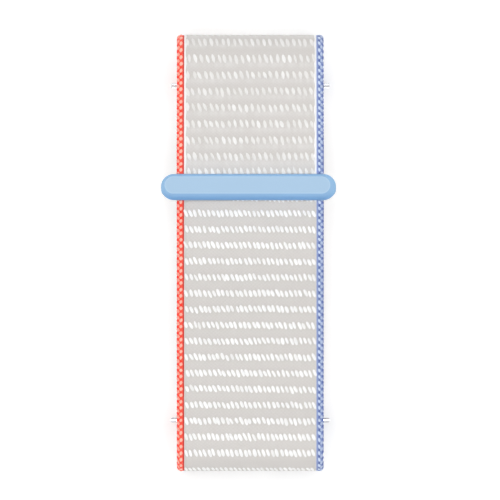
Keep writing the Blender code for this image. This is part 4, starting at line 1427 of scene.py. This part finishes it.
class STRAP_OT_hook_tape(bpy.types.Operator):
    """Sew the hook tape under the flap's tip, with its rows of mushroom hooks"""

    bl_idname = "watch_strap.hook_tape"
    bl_label = "Hook Tape"

    def execute(self, context):
        settings = context.scene.strap_closure
        pitch = settings.hook_pitch
        material = moulded_nylon(settings)
        start = FLAP_SPLIT + PATCH_INSET
        end = FLAP_LENGTH - PATCH_INSET
        level = PATCH_BACK_LEVEL - TAPE_THICKNESS / 2
        run = flat_run(-end, -start, level, TAPE_THICKNESS / 2)
        tape = Sheet([("tape", run)], soft_first=False)
        half_width = WEB_HALF_WIDTH - PATCH_SIDE_MARGIN
        # Ridges follow a cosine at the hooks' pitch, and the border falls with a square
        along = np.linspace(0, tape.end, TAPE_GRID[0])[:, None]
        across = np.linspace(-half_width, half_width, TAPE_GRID[1])
        half = TAPE_THICKNESS / 2 - TAPE_BORDER_DROP * border_share(across, half_width) ** 2
        ridge = TAPE_RIDGE * np.cos(2 * math.pi * across / pitch)
        grids = tape.place(along, across, half + ridge), tape.place(along, across, -half)
        mesh = make_mesh("hook_tape", *thick_sheet(*grids, tape.hand))
        add_piece("hook_tape", mesh, material, "hook_tape", ("flap_tip",), "hook_patch")

        columns = int((2 * half_width - HOOK_MARGIN) / pitch) + 1
        rows = int((tape.end - HOOK_MARGIN) / pitch) + 1
        x = (np.arange(columns) - (columns - 1) / 2) * pitch
        s = (np.arange(rows)[:, None] - (rows - 1) / 2) * pitch + tape.end / 2
        random = np.random.default_rng(5)
        shape = (rows, columns)
        # A stem that narrows upward under a flat round head, turned onto the third axis
        levels = (-0.1, -0.1, 0.42, 0.66, 0.80, 0.96, 1.0)
        points, uv, faces = revolved(levels, (0.5, 0.34, 0.95, 1.0, 0.62), 6)
        hook = points[:, [1, 2, 0]], uv, faces
        spots = yarn_spots(
            shape,
            along=s + random.normal(0, 0.00002, shape),
            across=x + random.normal(0, 0.00002, shape),
            length=HOOK_HEAD_WIDTH,
            width=HOOK_HEAD_WIDTH,
            height=HOOK_HEIGHT * (1 - np.abs(random.normal(0, 0.02, shape))),
            tilt=random.uniform(0, 1.0, shape),
            stretch=1,
            tone=1,
        )
        mesh = yarns_on_face("mushroom_hooks", tape, 1, spots, hook)
        add_piece("mushroom_hooks", mesh, material, "hook_tape", ("flap_tip",))
        return {"FINISHED"}


class STRAP_OT_pull_tab(bpy.types.Operator):
    """Mould the ribbed grip on the flap's free end"""

    bl_idname = "watch_strap.pull_tab"
    bl_label = "Pull Tab"

    def execute(self, context):
        settings = context.scene.strap_closure
        start = FLAP_LENGTH + FLAP_GAP
        end = start + TAB_LENGTH
        half = TAB_THICKNESS / 2
        sheet = Sheet([("tab", flat_run(-end, -start, FLAP_PATCH_LEVEL, half))], soft_first=False)
        # Quarter circles round the free corners and the border, and a raised cosine makes ribs
        along = np.linspace(0, 1, TAB_GRID[0])[:, None] * sheet.end
        reach = np.clip(TAB_CORNER - along, 0, TAB_CORNER)
        half_width = HALF_WIDTH - TAB_CORNER + np.sqrt(TAB_CORNER ** 2 - reach ** 2)
        across = np.linspace(-1, 1, TAB_GRID[1]) * half_width
        border = np.minimum(half_width - np.abs(across), np.minimum(along, sheet.end - along))
        fall = np.clip(1 - border / TAB_ROUND_WIDTH, 0, 1)
        inner = half - TAB_ROUND_DEPTH * (1 - np.sqrt(1 - fall ** 2))
        groove = 0.5 - 0.5 * np.cos(2 * math.pi * (along - TAB_RIB_START) / TAB_RIB_PITCH)
        inside = np.clip((border - TAB_BORDER) / TAB_RIB_EASE, 0, 1)
        outer = inner - TAB_RIB_HEIGHT * groove * inside
        grids = sheet.place(along, across, inner), sheet.place(along, across, -outer)
        mesh = make_mesh("moulded_tab", *thick_sheet(*grids, sheet.hand))
        material = moulded_silicone(settings)
        add_piece("moulded_tab", mesh, material, "pull_tab_rubber", ("flap_tip",), "pull_tab")
        return {"FINISHED"}


class STRAP_OT_lug_stitches(bpy.types.Operator):
    """Sew the lug folds and the ring tab with rows of thread"""

    bl_idname = "watch_strap.lug_stitches"
    bl_label = "Stitches"

    def execute(self, context):
        settings = context.scene.strap_closure
        colours = (linear("#E4E1DE"), linear("#FFFFFF"))
        material = textured_yarn("twisted_polyester_thread", *colours, 3)
        shape = slug(6, 6, 3.0, 0.45)
        step = settings.stitch_length + STITCH_GAP
        count = int(2 * (WEB_HALF_WIDTH - STITCH_MARGIN) / step)
        # Slugs across the strap: two rows hold each lug fold, and one holds the ring's tab
        seams = {
            "short_strap": (SHORT, UPPER_BAR, -1, [("tab_tail", STITCH_ROWS[1])]),
            "long_strap": (LONG, LOWER_BAR, 1, []),
        }
        for name, (sheet, bar, way, others) in seams.items():
            lug = [(run, bar + way * row) for run in ("web", "lug_tail") for row in STITCH_ROWS]
            rows = np.array([sheet.at(*place) for place in (*lug, *others)])[:, None]
            spots = yarn_spots(
                (len(rows), count),
                along=rows,
                across=(np.arange(count) - (count - 1) / 2) * step,
                length=settings.stitch_length,
                width=settings.stitch_width,
                height=STITCH_HEIGHT,
                tilt=STITCH_LEAN,
                stretch=1,
                tone=0.7,
            )
            mesh = yarns_on_face(f"{name}_stitches", sheet, 1, spots, shape, STITCH_LIFT)
            add_piece(mesh.name, mesh, material, "grey_webbing", (name,))
        return {"FINISHED"}


class STRAP_OT_spring_bars(bpy.types.Operator):
    """Finish the quick release bars in turned steel, and wind their springs"""

    bl_idname = "watch_strap.spring_bars"
    bl_label = "Spring Bars"

    def execute(self, context):
        steel = turned_steel()
        wire = drawn_wire()
        for bar, side in (("upper", 1), ("lower", -1)):
            for part in ("barrel", "fixed_tip", "sliding_pin", "release_knob"):
                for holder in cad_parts[f"{bar}_bar_{part}"].material_slots:
                    holder.material = steel
            low, high = np.array(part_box(f"{bar}_bar_spring"))
            name = f"{bar}_bar_coil"
            mesh = self.coil(name, low, high)
            coil = add_piece(name, mesh, wire, "spring_wire", (f"{bar}_bar",), f"{bar}_bar_spring")
            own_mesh(coil)
        return {"FINISHED"}

    def coil(self, name, low, high):
        """Round wire on the helix (x, R cos a, R sin a) between two corners of its box.

        While a turns evenly with t, x runs as t - 0.4 sin(2 pi t) / (2 pi), so the end turns
        lie closer.
        """
        wire = SPRING_WIRE_RADIUS
        radius = (high[2] - low[2]) / 2 - wire
        turns = round((high[0] - low[0]) / SPRING_PITCH)
        share = np.linspace(0, 1, turns * COIL_STEPS + 1)
        angle = 2 * math.pi * turns * share
        outward = np.stack([0 * angle, np.cos(angle), np.sin(angle)], -1)
        line = (low + high) / 2 + radius * outward
        run = share - 0.4 * np.sin(2 * math.pi * share) / (2 * math.pi)
        line[:, 0] = low[0] + wire + (high[0] - low[0] - 2 * wire) * run
        forward = np.gradient(line, axis=0)
        forward = forward / np.linalg.norm(forward, axis=1)[:, None]
        beside = np.cross(forward, outward)
        turn = np.arange(COIL_SIDES)[None, :, None] * 2 * math.pi / COIL_SIDES
        around = np.cos(turn) * outward[:, None] + np.sin(turn) * beside[:, None]
        return make_mesh(name, *lofted(line[:, None] + wire * around, -1))


class STRAP_OT_stage(bpy.types.Operator):
    """Set the floor, the soft light and the camera over the strap"""

    bl_idname = "watch_strap.stage"
    bl_label = "Stage"

    def execute(self, context):
        settings = context.scene.strap_stage
        context.scene.view_settings.view_transform = "Standard"
        self.floor()
        self.sky(context.scene, settings)
        self.lights(settings)
        self.camera(context.scene, settings)
        return {"FINISHED"}

    def seen_directly(self, node):
        """Socket that is one for camera, glossy and transmission rays."""
        rays = node("LightPath").node.outputs
        both = {0: rays["Is Camera Ray"], 1: rays["Is Glossy Ray"]}
        both = node("Math", both, operation="MAXIMUM")
        return node("Math", {0: both, 1: rays["Is Transmission Ray"]}, operation="MAXIMUM")

    def floor(self):
        """Wide pale square that glows a little for the camera, so it shows as white.

        Matt paint: nearly even, clouded over 33 mm as a rolled coat is.
        """
        x = np.linspace(-FLOOR_REACH, FLOOR_REACH, 5)
        grid = np.stack(np.broadcast_arrays(x[:, None], x, FLOOR_LEVEL), -1)
        material, node, shader = start_material("matt_floor_paint", Roughness=0.9)
        place = node("TexCoord", out="Object")
        cloud = node("TexNoise", {"Vector": place, "Scale": 1 / 0.033})
        colours = {0: cloud, 6: linear("#F4F4F4"), 7: linear("#F8F8F8")}
        node("Mix", colours, 2, shader["Base Color"], data_type="RGBA")
        strength = node("Math", {0: self.seen_directly(node), 1: 0.30}, operation="MULTIPLY")
        glow = node("Emission", {"Color": (1, 1, 1), "Strength": strength})
        nodes = material.node_tree.nodes
        surface = nodes["Material Output"].inputs["Surface"]
        node("AddShader", {0: nodes["Principled BSDF"].outputs[0], 1: glow}, to=surface)
        mesh = make_mesh("floor", grid.reshape(-1, 3), [grid_cells(len(x), len(x)).reshape(-1, 4)])
        mesh.materials.append(material)
        floor = add_object("floor", mesh)

    def sky(self, scene, settings):
        """Even white light from all round, and a white backdrop for what is seen directly."""
        world = bpy.data.worlds.new("studio")
        world.use_nodes = True
        node = partial(add_node, world.node_tree)
        light = world.node_tree.nodes["Background"]
        light.inputs["Color"].default_value = (1, 1, 1, 1)
        light.inputs["Strength"].default_value = settings.world_strength
        backdrop = node("Background", {"Color": (1, 1, 1), "Strength": 1.0})
        inputs = {0: self.seen_directly(node), 1: light.outputs[0], 2: backdrop}
        node("MixShader", inputs, to=world.node_tree.nodes["World Output"].inputs["Surface"])
        scene.world = world

    def soft_box(self, name, power, size, distance, height, turn):
        """Square lamp that faces the crown, at a distance from its axis and turned round it."""
        lamp = bpy.data.lights.new(name, "AREA")
        lamp.size = size
        lamp.energy = power
        light = add_object(name, lamp)
        light.location = (distance * math.cos(turn), distance * math.sin(turn), height)
        light.rotation_euler = (0, math.atan2(distance, height - CROWN_TOP), turn)

    def lights(self, settings):
        """Soft box overhead, and four low ones round the strap that reach its steep sides."""
        self.soft_box("key_box", settings.key_power, size=0.20, distance=0, height=1.0, turn=0)
        for number in range(4):
            self.soft_box(
                f"low_box_{number}", settings.side_power,
                size=0.22, distance=0.95, height=0.16, turn=number * QUARTER,
            )

    def camera(self, scene, settings):
        """Long lens straight above the crown, with +Y up in the picture."""
        camera = bpy.data.cameras.new("camera")
        camera.sensor_width = SENSOR_WIDTH
        camera.lens = SENSOR_WIDTH * settings.camera_height / settings.picture_width
        x, y, z = CAMERA_PLACE
        scene.camera = add_object("camera", camera)
        scene.camera.location = (x, y, z + settings.camera_height)


PIECES = (
    STRAP_OT_weave,
    STRAP_OT_float_yarns,
    STRAP_OT_edge_braids,
    STRAP_OT_seam_binding,
    STRAP_OT_buckle_ring,
    STRAP_OT_hook_tape,
    STRAP_OT_pull_tab,
    STRAP_OT_lug_stitches,
    STRAP_OT_spring_bars,
    STRAP_OT_stage,
)


class STRAP_PT_pieces(bpy.types.Panel):
    """Pieces of the watch strap"""

    bl_label = "Watch Strap"
    bl_idname = "STRAP_PT_pieces"
    bl_space_type = "VIEW_3D"
    bl_region_type = "UI"
    bl_category = "Watch Strap"

    def draw(self, context):
        for piece in PIECES:
            self.layout.operator(piece.bl_idname)


SETTINGS = {
    "strap_webbing": WebbingSettings,
    "strap_edges": EdgeSettings,
    "strap_ring": RingSettings,
    "strap_closure": ClosureSettings,
    "strap_stage": StageSettings,
}
CLASSES = (*SETTINGS.values(), *PIECES, STRAP_PT_pieces)


def register():
    for kind in CLASSES:
        bpy.utils.register_class(kind)
    for name, kind in SETTINGS.items():
        setattr(bpy.types.Scene, name, PointerProperty(type=kind))


def unregister():
    for name in SETTINGS:
        delattr(bpy.types.Scene, name)
    for kind in reversed(CLASSES):
        bpy.utils.unregister_class(kind)


def main():
    register()
    for piece in PIECES:
        group, name = piece.bl_idname.split(".")
        getattr(getattr(bpy.ops, group), name)()


if __name__ == "__main__":
    main()
